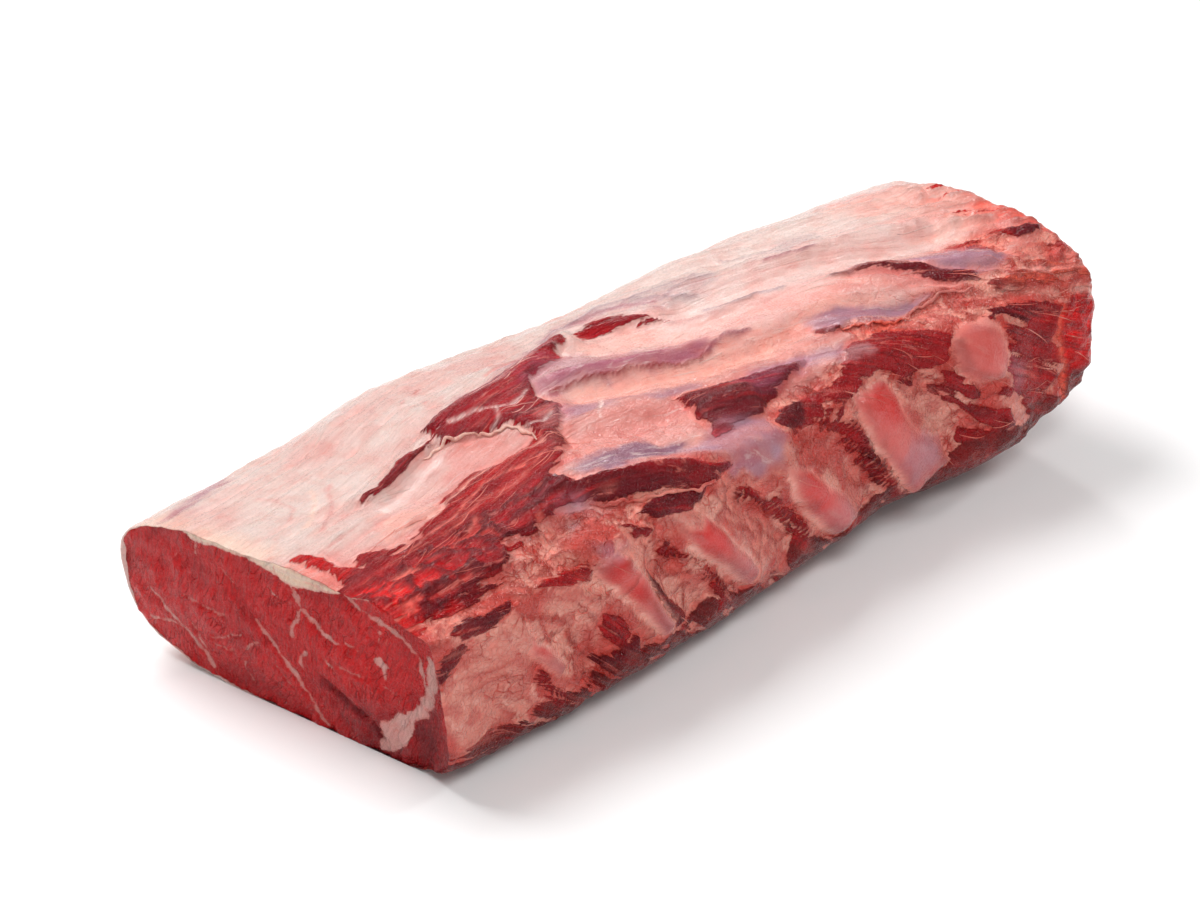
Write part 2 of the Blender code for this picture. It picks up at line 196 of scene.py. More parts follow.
# Thin creases and raised strands: path, half width in mm, height in mm, colour name and its strength
CREASES = [
    ([360, 512, 430, 500, 470, 486, 510, 471, 545, 468], 0.8, -1.2, "lean", 0.8),
    ([20, 268, 40, 262, 70, 266, 92, 256], 0.9, -0.7, "vein", 0.5),
    ([128, 302, 150, 290, 165, 270, 160, 250], 1.0, -0.8, "vein", 0.6),
    ([168, 300, 182, 286, 190, 268], 0.9, -0.7, "vein", 0.5),
    ([140, 262, 158, 262, 172, 250, 180, 236], 1.1, -0.9, "vein", 0.7),
    ([312, 266, 330, 262, 345, 246], 0.8, -0.6, "vein", 0.4),
    ([392, 292, 412, 276, 430, 268, 446, 250], 1.0, -0.8, "vein", 0.6),
    ([420, 305, 450, 293, 475, 283, 494, 272], 1.3, -1.1, "lean", 0.7),
    ([545, 469, 570, 470, 598, 461], 0.8, -0.8, "purple", 0.7),
    # Raised band below the window's tail painted milk-white, partly as painted light that lifts the shade
    # of the furrow there
    ([122, 496, 150, 502, 180, 508, 205, 510], 3.2, 1.6, "milk", 0.7),
    ([460, 540, 550, 512, 650, 474, 740, 450], 7.0, 1.6, "bed_rim", 0.35),
    ([600, 545, 700, 508, 800, 478, 900, 458], 8.0, 1.5, "white", 0.4),
    ([620, 600, 700, 578, 800, 560, 900, 530], 8.0, 1.2, "white", 0.35),
    ([570, 536, 620, 512, 660, 506], 3.0, -0.9, "blush", 0.5),
    ([700, 545, 745, 528, 800, 518], 3.5, -0.8, "blush", 0.4),
    ([480, 455, 560, 440, 640, 428], 7.0, 1.3, "bed_rim", 0.4),
    ([530, 425, 600, 412, 650, 400], 3.0, -0.9, "peach", 0.6),
    ([445, 598, 500, 608, 545, 613, 565, 602, 580, 586, 600, 566, 622, 550], 1.5, -0.8, "grey", 0.9),
    ([470, 608, 520, 604, 556, 594, 580, 572], 1.2, -0.6, "purple", 0.5),
    ([575, 595, 612, 591, 656, 582], 1.0, -0.6, "grey", 0.9),
    ([595, 570, 625, 576, 660, 564], 0.9, -0.6, "grey", 0.8),
    ([610, 530, 640, 510, 664, 506, 684, 490], 1.3, -0.8, "grey", 1.0),
    ([712, 537, 745, 529, 764, 526], 1.0, -0.8, "purple", 0.7),
    ([700, 590, 712, 572, 735, 560], 0.8, -0.5, "grey", 0.6),
    ([735, 470, 765, 459, 785, 450, 800, 438], 1.4, -1.0, "maroon", 0.8),
    ([664, 400, 700, 384, 732, 372, 745, 378, 762, 386, 800, 386], 1.0, -1.2, "maroon", 0.8),
    ([780, 412, 812, 390, 850, 379, 890, 374, 930, 350], 1.5, 0.9, "blush", 0.7),
    ([820, 372, 870, 357, 910, 332, 930, 316], 1.4, 1.0, "bed_rim", 0.8),
    ([850, 400, 900, 372, 950, 344, 990, 325], 1.4, 1.0, "peach", 0.7),
    ([890, 345, 930, 325, 960, 312, 990, 286], 1.6, 1.2, "bed_rim", 0.9),
    ([922, 312, 915, 280, 928, 240, 940, 190], 1.6, 1.0, "orange", 0.8),
    ([126, 566, 105, 545, 85, 525, 62, 512], 1.0, -0.35, "peach", 0.45),
    ([112, 572, 94, 552, 74, 536, 60, 530], 0.9, 0.35, "cream", 0.6),
    ([75, 610, 85, 590, 80, 565, 60, 550], 0.9, -0.3, "blush", 0.5),
    ([100, 452, 150, 456, 200, 466, 250, 462, 282, 452], 0.9, 0.7, "bed_rim", 0.8),
    ([80, 428, 150, 436, 200, 448, 240, 442], 0.8, 0.5, "strand", 0.8),
    ([20, 412, 60, 410, 110, 406, 155, 418], 1.0, 0.7, "strand", 0.8),
    ([120, 424, 170, 430, 220, 428, 270, 440], 0.8, 0.5, "strand", 0.6),
    ([250, 536, 280, 530, 296, 516, 312, 512, 338, 519], 0.7, 0.6, "white", 0.8),
    ([296, 516, 285, 507, 270, 504], 0.6, 0.5, "white", 0.7),
    ([286, 476, 310, 474, 325, 480], 0.7, 0.5, "white", 0.7),
    ([360, 450, 380, 468, 392, 476], 0.8, 0.6, "white", 0.7),
    ([432, 570, 445, 545, 460, 535], 0.8, 0.5, "white", 0.7),
    ([284, 611, 290, 615, 296, 617], 0.9, -0.5, "peach", 0.9),
    ([264, 605, 270, 608], 0.8, -0.35, "peach", 0.7),
    ([277, 589, 282, 592], 0.8, -0.3, "peach", 0.6),
    ([20, 285, 50, 276, 90, 278], 0.8, -0.5, "vein", 0.5),
    ([30, 300, 34, 270, 26, 240], 0.8, -0.5, "vein", 0.4),
    ([230, 275, 245, 292, 262, 298], 0.9, -0.6, "vein", 0.5),
    ([196, 314, 216, 292, 236, 268, 256, 246, 276, 222], 1.3, 1.0, "bed_rim", 0.9),
    ([244, 304, 262, 284, 270, 262, 284, 242, 296, 228], 1.3, 1.0, "bed_rim", 0.8),
    ([326, 290, 350, 270, 372, 255, 396, 234, 420, 216], 1.4, 1.0, "bed_rim", 0.9),
    ([357, 308, 385, 282, 402, 266, 424, 246, 440, 230], 1.4, 1.0, "bed_rim", 0.7),
    ([484, 300, 502, 276, 522, 252, 546, 228, 560, 212], 1.5, 0.9, "bed_rim", 0.8),
    ([606, 318, 624, 292, 645, 260, 665, 235, 690, 206], 1.5, 0.9, "bed_rim", 0.8),
    ([106, 300, 112, 284, 132, 266, 148, 246], 1.0, 0.8, "bed_rim", 0.8),
]

# Thin films over muscle: outline, colour name, strength
FILMS = [
    ([5, 655, 50, 668, 85, 690, 110, 690, 100, 668, 60, 654, 20, 648], "purple", 0.55),
    ([240, 556, 300, 566, 360, 578, 400, 592, 460, 604, 450, 588, 390, 570, 300, 556], "purple", 0.5),
    ([345, 548, 400, 560, 440, 556, 470, 535, 500, 512, 545, 494, 550, 470, 500, 474, 440, 498, 350, 512],
        "purple", 0.55),
    ([345, 530, 400, 528, 450, 512, 500, 494, 545, 482, 550, 470, 500, 474, 440, 498, 350, 512], "purple",
        0.6),
    ([256, 396, 262, 410, 300, 411, 330, 406, 362, 402, 365, 388, 410, 378, 370, 370, 340, 374, 310, 380,
        272, 388], "dusk", 1.0),
    ([310, 474, 342, 487, 365, 478, 400, 468, 455, 448, 480, 432, 450, 432, 400, 452, 350, 462], "lavender",
        0.7),
    ([322, 480, 345, 490, 360, 482, 345, 470], "purple", 0.6),
    ([290, 442, 302, 470, 318, 492, 345, 486, 338, 462, 312, 440], "blush", 0.45),
    ([375, 362, 415, 372, 450, 374, 500, 362, 497, 334, 480, 316, 450, 312, 425, 326, 410, 345], "lavender",
        0.9),
    ([400, 345, 420, 338, 450, 340, 455, 328, 420, 324], "purple", 0.7),
    ([500, 416, 560, 406, 610, 392, 590, 380, 540, 380, 500, 384], "purple", 0.75),
    ([545, 408, 600, 400, 648, 378, 630, 368, 585, 380, 550, 390], "lavender", 0.75),
    ([615, 366, 640, 368, 670, 366, 672, 357, 640, 358], "grey", 0.8),
    ([650, 436, 690, 428, 730, 408, 780, 390, 760, 384, 735, 376, 700, 390, 665, 402, 650, 416], "lavender",
        0.95),
    ([796, 456, 850, 440, 880, 418, 908, 392, 870, 378, 848, 390, 826, 418, 808, 436], "lavender", 0.95),
    ([452, 600, 475, 618, 520, 620, 556, 606, 590, 574, 575, 560, 548, 586, 500, 598], "purple", 0.38),
    ([560, 600, 620, 598, 665, 584, 665, 560, 625, 545, 585, 560], "grey", 0.5),
    ([728, 566, 765, 574, 800, 566, 790, 545, 735, 540], "grey", 0.55),
    ([830, 296, 848, 300, 856, 270, 852, 220, 838, 220, 838, 268], "lavender", 0.5),
    ([690, 266, 730, 246, 750, 215, 700, 210, 675, 235], "lavender", 0.4),
    ([205, 374, 225, 380, 245, 372, 240, 362, 212, 362], "lavender", 0.8),
    ([202, 328, 225, 326, 245, 317, 228, 312, 208, 316], "lavender", 0.5),
    ([300, 320, 330, 322, 345, 312, 335, 306, 310, 312], "lavender", 0.5),
]

# Tints of the fat: outline, colour name, strength, and width of the soft edge in mm
TINTS = [
    ([120, 505, 200, 520, 235, 522, 265, 510, 286, 490, 286, 465, 255, 458, 180, 462, 130, 480], "blush",
        1.0, 5),
    ([118, 502, 180, 514, 205, 500, 180, 480, 130, 484], "white", 0.45, 4),
    ([100, 480, 140, 480, 158, 464, 140, 452, 100, 450, 80, 456], "bed_rim", 0.7, 3),
    ([440, 620, 560, 650, 700, 660, 860, 640, 860, 570, 700, 560, 600, 590, 560, 615], "white", 0.9, 10),
    ([460, 570, 520, 560, 560, 545, 560, 520, 500, 520, 460, 545], "bed_rim", 0.6, 6),
    ([560, 550, 640, 550, 720, 520, 860, 500, 900, 540, 860, 570, 700, 570], "white", 0.45, 8),
    ([780, 610, 860, 606, 850, 568, 790, 562], "white", 1.0, 5),
    ([270, 420, 300, 440, 400, 452, 445, 430, 430, 412, 300, 402], "peach", 0.7, 4),
    ([380, 500, 480, 480, 560, 462, 700, 440, 740, 415, 620, 420, 540, 430, 440, 455, 370, 480], "bed_rim",
        0.85, 6),
    ([660, 470, 740, 460, 790, 430, 790, 400, 720, 425, 660, 445], "peach", 0.45, 5),
    ([860, 480, 940, 490, 960, 450, 930, 436, 880, 444], "bed_rim", 0.7, 4),
    ([0, 640, 100, 640, 300, 650, 420, 640, 420, 600, 300, 610, 100, 600, 0, 600], "blush", 0.4, 9),
    ([50, 630, 130, 640, 150, 580, 110, 540, 50, 550], "white", 0.8, 6),
    ([350, 590, 380, 600, 400, 592, 380, 582], "peach", 0.7, 2),
    ([850, 600, 960, 590, 990, 560, 990, 480, 900, 500, 860, 540], "bed_rim", 0.6, 9),
    ([-10, 500, 10, 495, 14, 450, 8, 430, -10, 420], "orange", 0.5, 3),
    ([-10, 400, 30, 396, 40, 370, 20, 350, -10, 345], "orange", 0.8, 3),
    ([860, 446, 900, 442, 936, 428, 925, 400, 900, 400, 880, 425], "orange", 0.9, 3),
    ([940, 480, 990, 500, 1010, 450, 1010, 380, 960, 380, 960, 430], "orange", 0.7, 5),
    ([665, 396, 690, 402, 740, 370, 700, 362, 665, 380], "orange", 0.7, 3),
    ([740, 372, 770, 386, 810, 382, 840, 362, 800, 350, 750, 352], "peach", 0.7, 3),
    ([0, 300, 40, 312, 95, 312, 100, 260, 115, 220, 40, 216, 10, 240], "pale_fat", 0.6, 6),
    ([140, 312, 190, 306, 215, 285, 195, 262, 160, 255, 140, 285], "pale_fat", 0.9, 5),
    ([285, 295, 310, 270, 350, 248, 370, 225, 320, 225, 290, 250], "pale_fat", 0.9, 5),
    ([400, 300, 450, 270, 490, 240, 500, 215, 450, 220, 400, 275], "pale_fat", 0.8, 6),
    ([700, 314, 740, 310, 746, 285, 720, 275, 700, 290], "pale_fat", 1.0, 3),
    ([715, 265, 755, 268, 770, 240, 745, 225, 722, 240], "pale_fat", 1.0, 3),
    ([150, 368, 190, 372, 198, 358, 160, 352], "pale_fat", 1.0, 2),
    ([100, 350, 150, 350, 130, 330, 100, 330], "pale_fat", 0.7, 3),
]

# Where the fat stands in small lobes: outline and height in mm
LOBE_ZONES = [
    ([664, 398, 690, 402, 720, 388, 745, 376, 700, 366, 668, 380], 2.2),
    ([745, 378, 780, 388, 820, 382, 830, 366, 790, 352, 750, 356], 1.6),
    ([5, 346, 150, 350, 300, 344, 300, 324, 200, 318, 100, 318, 5, 326], 1.6),
    ([140, 372, 200, 376, 240, 362, 260, 346, 150, 346], 2.0),
    ([860, 446, 900, 442, 940, 428, 925, 400, 890, 400, 875, 425], 1.6),
    ([500, 362, 560, 374, 620, 366, 610, 340, 540, 338, 500, 342], 1.2),
    ([360, 334, 400, 338, 430, 320, 400, 306, 365, 312], 1.4),
]

# Rib beds as painted: outline of each smooth pink hollow
BED_OUTLINES = [
    [104, 300, 112, 284, 132, 266, 150, 244, 140, 234, 124, 252, 106, 272],
    [196, 318, 216, 318, 240, 314, 250, 298, 264, 282, 270, 262, 284, 242, 296, 226, 280, 220, 256, 248,
        238, 268, 218, 292],
    [316, 308, 338, 303, 358, 308, 384, 284, 402, 266, 424, 246, 444, 226, 422, 214, 396, 234, 370, 255,
        348, 271, 326, 288],
    [486, 308, 512, 302, 534, 286, 558, 265, 588, 240, 606, 216, 566, 210, 544, 230, 520, 254, 500, 280],
    [606, 332, 640, 330, 668, 328, 682, 308, 696, 276, 718, 250, 750, 232, 764, 200, 710, 190, 684, 212,
        664, 236, 644, 262, 624, 292],
    [764, 336, 782, 344, 816, 342, 828, 320, 833, 294, 820, 279, 790, 284, 768, 302],
]

# The reddest places of the beds, and their radius in mm
BED_REDS = [(222, 306, 7), (245, 275, 6), (338, 294, 8), (365, 282, 9), (522, 284, 8), (540, 262, 8),
            (650, 316, 9), (672, 296, 8), (120, 272, 5)]

# Colours given against the photograph, as they look in even light
TISSUE = {
    "white": (225, 199, 191),
    "milk": (238, 212, 206),
    "cream": (240, 202, 184),
    "blush": (222, 156, 148),
    "peach": (218, 138, 130),
    "orange": (244, 104, 82),
    "rib_fat": (198, 86, 78),
    "pale_fat": (236, 168, 152),
    "thin": (200, 66, 58),
    "lean": (166, 22, 28),
    "window": (156, 14, 28),
    "fresh": (214, 22, 22),
    "maroon": (108, 10, 22),
    "purple": (164, 82, 106),
    "blade": (210, 22, 24),
    # low: dark red of the lower edge and underside, partly painted shade near the floor
    "low": (116, 18, 18),
    "bed_red": (214, 34, 34),
    "bed_pink": (216, 98, 92),
    "bed_rim": (238, 172, 158),
    "lavender": (170, 122, 138),
    "dusk": (142, 98, 116),
    "grey": (188, 156, 158),
    "strand": (218, 116, 104),
    "vein": (188, 54, 42),
}

# Fineness of the sleeve: rows along it, columns for each stretch of the girth, and the rings of the caps at
# its ends, each with its share of the end's width and how far it is pushed along the roll
ROW_ENDS, ROW_COUNTS = (0, 0.35, 1 - END_ROUND / LENGTH), (120, 186)
ROUND_ROWS = 16
NEAR_CAP = [(0.40, 9.0), (0.90, 9.0), (0.975, 2.0), (0.988, -0.9), (0.996, -0.7)]
FAR_CAP = [(0.985, 0.2), (0.96, -1.0), (0.85, -4.0), (0.40, -4.0)]
CAP_DEPTHS = (9, 4)
COLUMN_ENDS, COLUMN_COUNTS = (0, 0.15, 0.70, 0.86, 1.0), (18, 238, 26, 16)
PROFILE_POINTS = 1801
LATTICE = 512  # corners each way of the noise, after which it repeats
SMOOTH_PASSES = 16


def linear(colour):
    """A colour given as 0 to 255 on screen, as linear light."""
    share = np.asarray(colour, float) / 255
    return np.where(share <= 0.04045, share / 12.92, ((share + 0.055) / 1.055) ** 2.4)


def ease(value, low, high):
    """0 up to low, 1 from high, and a smooth s-curve between."""
    s = np.clip((value - low) / (high - low), 0, 1)
    return s * s * (3 - 2 * s)


def pairs(row):
    """A row of numbers as points: two numbers each."""
    return np.reshape(row, (-1, 2))


def places(row):
    """A row of places in thousandths, as points in mm along the roll and round its girth."""
    return pairs(row) / 1000 * (LENGTH, GIRTH)


def flow(share, values):
    """The smooth curve through a value at each station: a cubic with matched slopes at the stations."""
    slope = np.gradient(values, STATIONS)
    left = np.clip(np.searchsorted(STATIONS, share, side="right") - 1, 0, len(STATIONS) - 2)
    width = STATIONS[left + 1] - STATIONS[left]
    s = (share - STATIONS[left]) / width
    start = (2 * s**3 - 3 * s**2 + 1) * values[left]
    leave = (s**3 - 2 * s**2 + s) * width * slope[left]
    end = (3 * s**2 - 2 * s**3) * values[left + 1]
    arrive = (s**3 - s**2) * width * slope[left + 1]
    return start + leave + end + arrive


def ripple(u, v, size, seed, turns_closed=True):
    """Gradient noise between about -1 and 1: each corner of a lattice of squares has a random slope, and
    the four slopes round a point are blended with a smooth step. Across v it closes round the girth."""
    rng = np.random.default_rng(seed)
    rows = max(int(round(GIRTH / size)), 1)
    across = GIRTH / rows if turns_closed else size
    angle = rng.uniform(0, 2 * np.pi, (LATTICE, LATTICE))
    a, b = u / size, v / across
    i, j = np.floor(a).astype(int), np.floor(b).astype(int)
    fa, fb = a - i, b - j
    wrap = rows if turns_closed else LATTICE
    total = np.zeros(np.broadcast(u, v).shape)
    sa, sb = fa * fa * fa * (fa * (fa * 6 - 15) + 10), fb * fb * fb * (fb * (fb * 6 - 15) + 10)
    for di in (0, 1):
        for dj in (0, 1):
            turn = angle[(i + di) % LATTICE, ((j + dj) % wrap) % LATTICE]
            slope = np.cos(turn) * (fa - di) + np.sin(turn) * (fb - dj)
            total += slope * (sa if di else 1 - sa) * (sb if dj else 1 - sb)
    return total * 1.5


def ripples(u, v, size, seed, octaves=3):
    """Several layers of gradient noise, each half the size of the last and half as strong."""
    total, weight = 0, 1.0
    for k in range(octaves):
        total = total + weight * ripple(u, v, size / 2**k, seed + k)
        weight /= 2
    return total


def cells(u, v, size, seed, stretch):
    """Distance in mm to the nearest wall between cells, and a random number for each cell. A cell is what
    lies nearest to one jittered point of a lattice that closes round the girth."""
    rng = np.random.default_rng(seed)
    rows = int(round(GIRTH / size))
    across, along = GIRTH / rows, size * stretch
    jitter = rng.uniform(0.08, 0.92, (LATTICE, LATTICE, 2))
    tint = rng.uniform(0, 1, (LATTICE, LATTICE))
    a, b = u / along, v / across
    i, j = np.floor(a).astype(int), np.floor(b).astype(int)
    first = np.full(u.shape, 1e9)
    second = np.full(u.shape, 1e9)
    which = np.zeros(u.shape)
    for di in (-1, 0, 1):
        for dj in (-1, 0, 1):
            p, q = (i + di) % LATTICE, ((j + dj) % rows) % LATTICE
            ahead, aside = i + di + jitter[p, q, 0] - a, j + dj + jitter[p, q, 1] - b
            far = np.hypot(ahead * size, aside * across)
            nearer = far < first
            second = np.where(nearer, first, np.minimum(second, far))
            which = np.where(nearer, tint[p, q], which)
            first = np.where(nearer, far, first)
    return (second - first) / 2, which


def inside(corners, u, v):
    """Millimetres inside an outline, negative outside: the distance to the nearest side, with its sign from
    the number of sides crossed on the way out."""
    nearest = np.full(u.shape, 1e9)
    odd = np.zeros(u.shape, bool)
    for (x0, y0), (x1, y1) in zip(corners, np.roll(corners, -1, axis=0)):
        ex, ey = x1 - x0, y1 - y0
        s = np.clip(((u - x0) * ex + (v - y0) * ey) / (ex * ex + ey * ey), 0, 1)
        nearest = np.minimum(nearest, np.hypot(u - x0 - s * ex, v - y0 - s * ey))
        if y0 != y1:
            odd ^= ((y0 > v) != (y1 > v)) & (u < ex * (v - y0) / ey + x0)
    return np.where(odd, nearest, -nearest)


def beside(corners, u, v):
    """Distance in mm to a path, and the distance gone along it at the nearest point."""
    nearest = np.full(u.shape, 1e9)
    gone = np.zeros(u.shape)
    so_far = 0.0
    for start, end in zip(corners[:-1], corners[1:]):
        run = end - start
        length = np.hypot(*run)
        s = np.clip(((u - start[0]) * run[0] + (v - start[1]) * run[1]) / length**2, 0, 1)
        far = np.hypot(u - start[0] - s * run[0], v - start[1] - s * run[1])
        closer = far < nearest
        gone = np.where(closer, so_far + s * length, gone)
        nearest = np.minimum(nearest, far)
        so_far += length
    return nearest, gone


def sections(along, around):
    """Points of the bare roll: a superellipse of four quarters at each share of the length, its places
    spaced evenly round it, with a rounded far end, a lifted far underside and a leaning near cut."""
    share = along[:, None]
    angle = np.linspace(-np.pi / 2, 1.5 * np.pi, PROFILE_POINTS)[None, :]
    quarter = np.clip(((angle + np.pi / 2) / (np.pi / 2) + 1e-9).astype(int), 0, 3)
    square = NEAR_SQUARE[quarter] * (1 - share) + FAR_SQUARE[quarter] * share
    across = np.sign(np.cos(angle)) * np.abs(np.cos(angle)) ** (2 / square)
    up = np.sign(np.sin(angle)) * np.abs(np.sin(angle)) ** (2 / square)
    rib, back, top = flow(share, -RIB_REACH), flow(share, BACK_REACH), flow(share, TOP_HEIGHT)
    rise = FAR_LIFT * np.clip((share - LIFT_FROM) / (1 - LIFT_FROM), 0, 1) ** 2
    floor = rise * (3 + across) / 4
    waist = (WAIST[0] * (1 - share) + WAIST[1] * share) * (top - rise) + rise
    past = np.clip((share * LENGTH - LENGTH + END_ROUND) / END_ROUND, 0, 1)
    pinch = 1 - END_PINCH * (1 - np.sqrt(np.clip(1 - past**2.2, 0, 1)))
    y = (rib + back) / 2 - (back - rib) / 2 * across * pinch
    z = waist + np.where(up > 0, (top - waist) * up, (waist - floor) * up) * pinch
    steps = np.hypot(np.diff(y, axis=1), np.diff(z, axis=1))
    gone = np.concatenate([np.zeros((len(along), 1)), np.cumsum(steps, axis=1)], axis=1)
    gone /= gone[:, -1:]
    y = np.array([np.interp(around, g, row) for g, row in zip(gone, y)])
    z = np.array([np.interp(around, g, row) for g, row in zip(gone, z)])
    lean = np.clip(1 - share / CUT_LEAN_ENDS, 0, 1)
    x = (share - 0.5) * LENGTH + lean * (CUT_LEAN_UP * (z - LEAN_HEIGHT) + CUT_LEAN_ACROSS * y)
    return np.stack([x + 0 * y, y, z], -1)


def outward(points):
    """Unit normals of a grid that closes round, from the slopes along its two directions."""
    forward = np.gradient(points, axis=0)
    sideways = np.roll(points, -1, axis=1) - np.roll(points, 1, axis=1)
    normal = np.cross(sideways, forward)
    return normal / np.maximum(np.linalg.norm(normal, axis=-1, keepdims=True), 1e-9)


def placed(points):
    """Moves points from the roll's own frame to the object's, pressing the underside flat."""
    points = points.copy()
    points[..., 0] += FOOTPRINT_SHIFT[0]
    points[..., 1] += FOOTPRINT_SHIFT[1]
    points[..., 2] = np.maximum(points[..., 2] - FLAT_DEPTH, 0)
    return points


def solid_relief(t, g, u, v):
    """The relief that the solid has too: beds, pads, strips and seams, over a broad unevenness."""
    turn = 2 * np.pi * g
    waves = 0.5 * np.sin(3 * turn + 9.1 * t + 1.3) * np.sin(11.7 * t + 0.4)
    waves += 0.3 * np.sin(5 * turn - 17.3 * t + 2.1)
    waves += 0.3 * np.sin(8 * turn + 31.0 * t) * np.sin(23.0 * t + 1.1)
    height = BUMPS * waves * np.clip((np.minimum(g, 1 - g) - 0.05) / 0.12, 0, 1)
    for path, half_width, rise in RIB_BEDS + FAT_FINGERS + FAT_STRIPS + FURROWS:
        height = height + rise * ease(half_width - beside(places(path), u, v)[0], 0, half_width)
    return height


# Where the fibres of the sleeve point: a place, and how far they climb round the girth for each mm along
GRAIN = [
    (50, 430, 0.15), (220, 440, 0.2), (200, 540, 0.3), (350, 560, 0.38), (450, 580, 0.1), (550, 570, -0.35),
    (450, 520, -0.38), (600, 480, -0.35), (350, 470, -0.1), (360, 390, -0.25), (480, 400, -0.22),
    (330, 350, -0.3), (680, 420, -0.4), (850, 430, -0.55), (700, 350, -0.5), (920, 380, -0.5),
    (100, 580, 0.1), (300, 620, 0.1), (700, 580, -0.25), (900, 550, -0.2), (100, 360, -0.1),
    (200, 270, -1.3), (400, 260, -1.2), (600, 260, -1.0), (720, 240, -0.8), (800, 250, -0.5),
    (870, 280, -0.7), (920, 240, -0.9), (300, 750, 0.05), (700, 750, 0.05), (300, 100, 0.1),
    (700, 100, 0.1), (500, 920, 0.1),
]
GRAIN_SOFT = 20.0  # mm round a named place within which its slope holds


def grain_map(u, v):
    """Coordinates along and across the fibres: the across one is carried back along the fibres to the
    near cut, one row after another, with the slope blended from the named places by distance."""
    total, weight = np.zeros(u.shape), np.zeros(u.shape)
    for t0, g0, slope in GRAIN:
        u0, v0 = places([t0, g0])[0]
        near = 1 / ((u - u0) ** 2 + (v - v0) ** 2 + GRAIN_SOFT**2) ** 1.5
        total += slope * near
        weight += near
    slope = total / weight
    across = np.empty(u.shape)
    across[0] = v[0]
    for i in range(1, len(u)):
        step = u[i, 0] - u[i - 1, 0]
        across[i] = np.interp(v[i] - slope[i] * step, v[i - 1], across[i - 1])
    return across, slope


def comb_teeth(u, v):
    """The combs of small red teeth along the rib beds: stripes across a path, longer and shorter at
    random, as mm inside them."""
    best = np.full(u.shape, FAR_OFF)
    for path, longest, pitch in COMBS:
        far, gone = beside(places(path), u, v)
        wave = np.sin(2 * np.pi * (gone + 3.0 * ripple(u, v, 10, 71)) / pitch) + 0.5 * ripple(u, v, 4, 73)
        reach = longest * (0.9 + 0.9 * ripple(u, v, 7, 72)) - far
        best = np.maximum(best, np.minimum(reach * 0.6, (wave + 0.1) * pitch / 4))
    return best


def paint(field, tint, amount):
    """Covers a field of colours with a tissue's colour, by a share for each point."""
    amount = np.clip(amount, 0, 1)[..., None]
    field[:] = field * (1 - amount) + linear(TISSUE[tint]) * amount


def smoothed(field, passes):
    """A field with each value drawn towards its neighbours, closed round the girth, several times over."""
    for _ in range(passes):
        field = (np.roll(field, 1, 1) + 2 * field + np.roll(field, -1, 1)) / 4
        padded = np.concatenate([field[:1], field, field[-1:]])
        field = (padded[:-2] + 2 * padded[1:-1] + padded[2:]) / 4
    return field


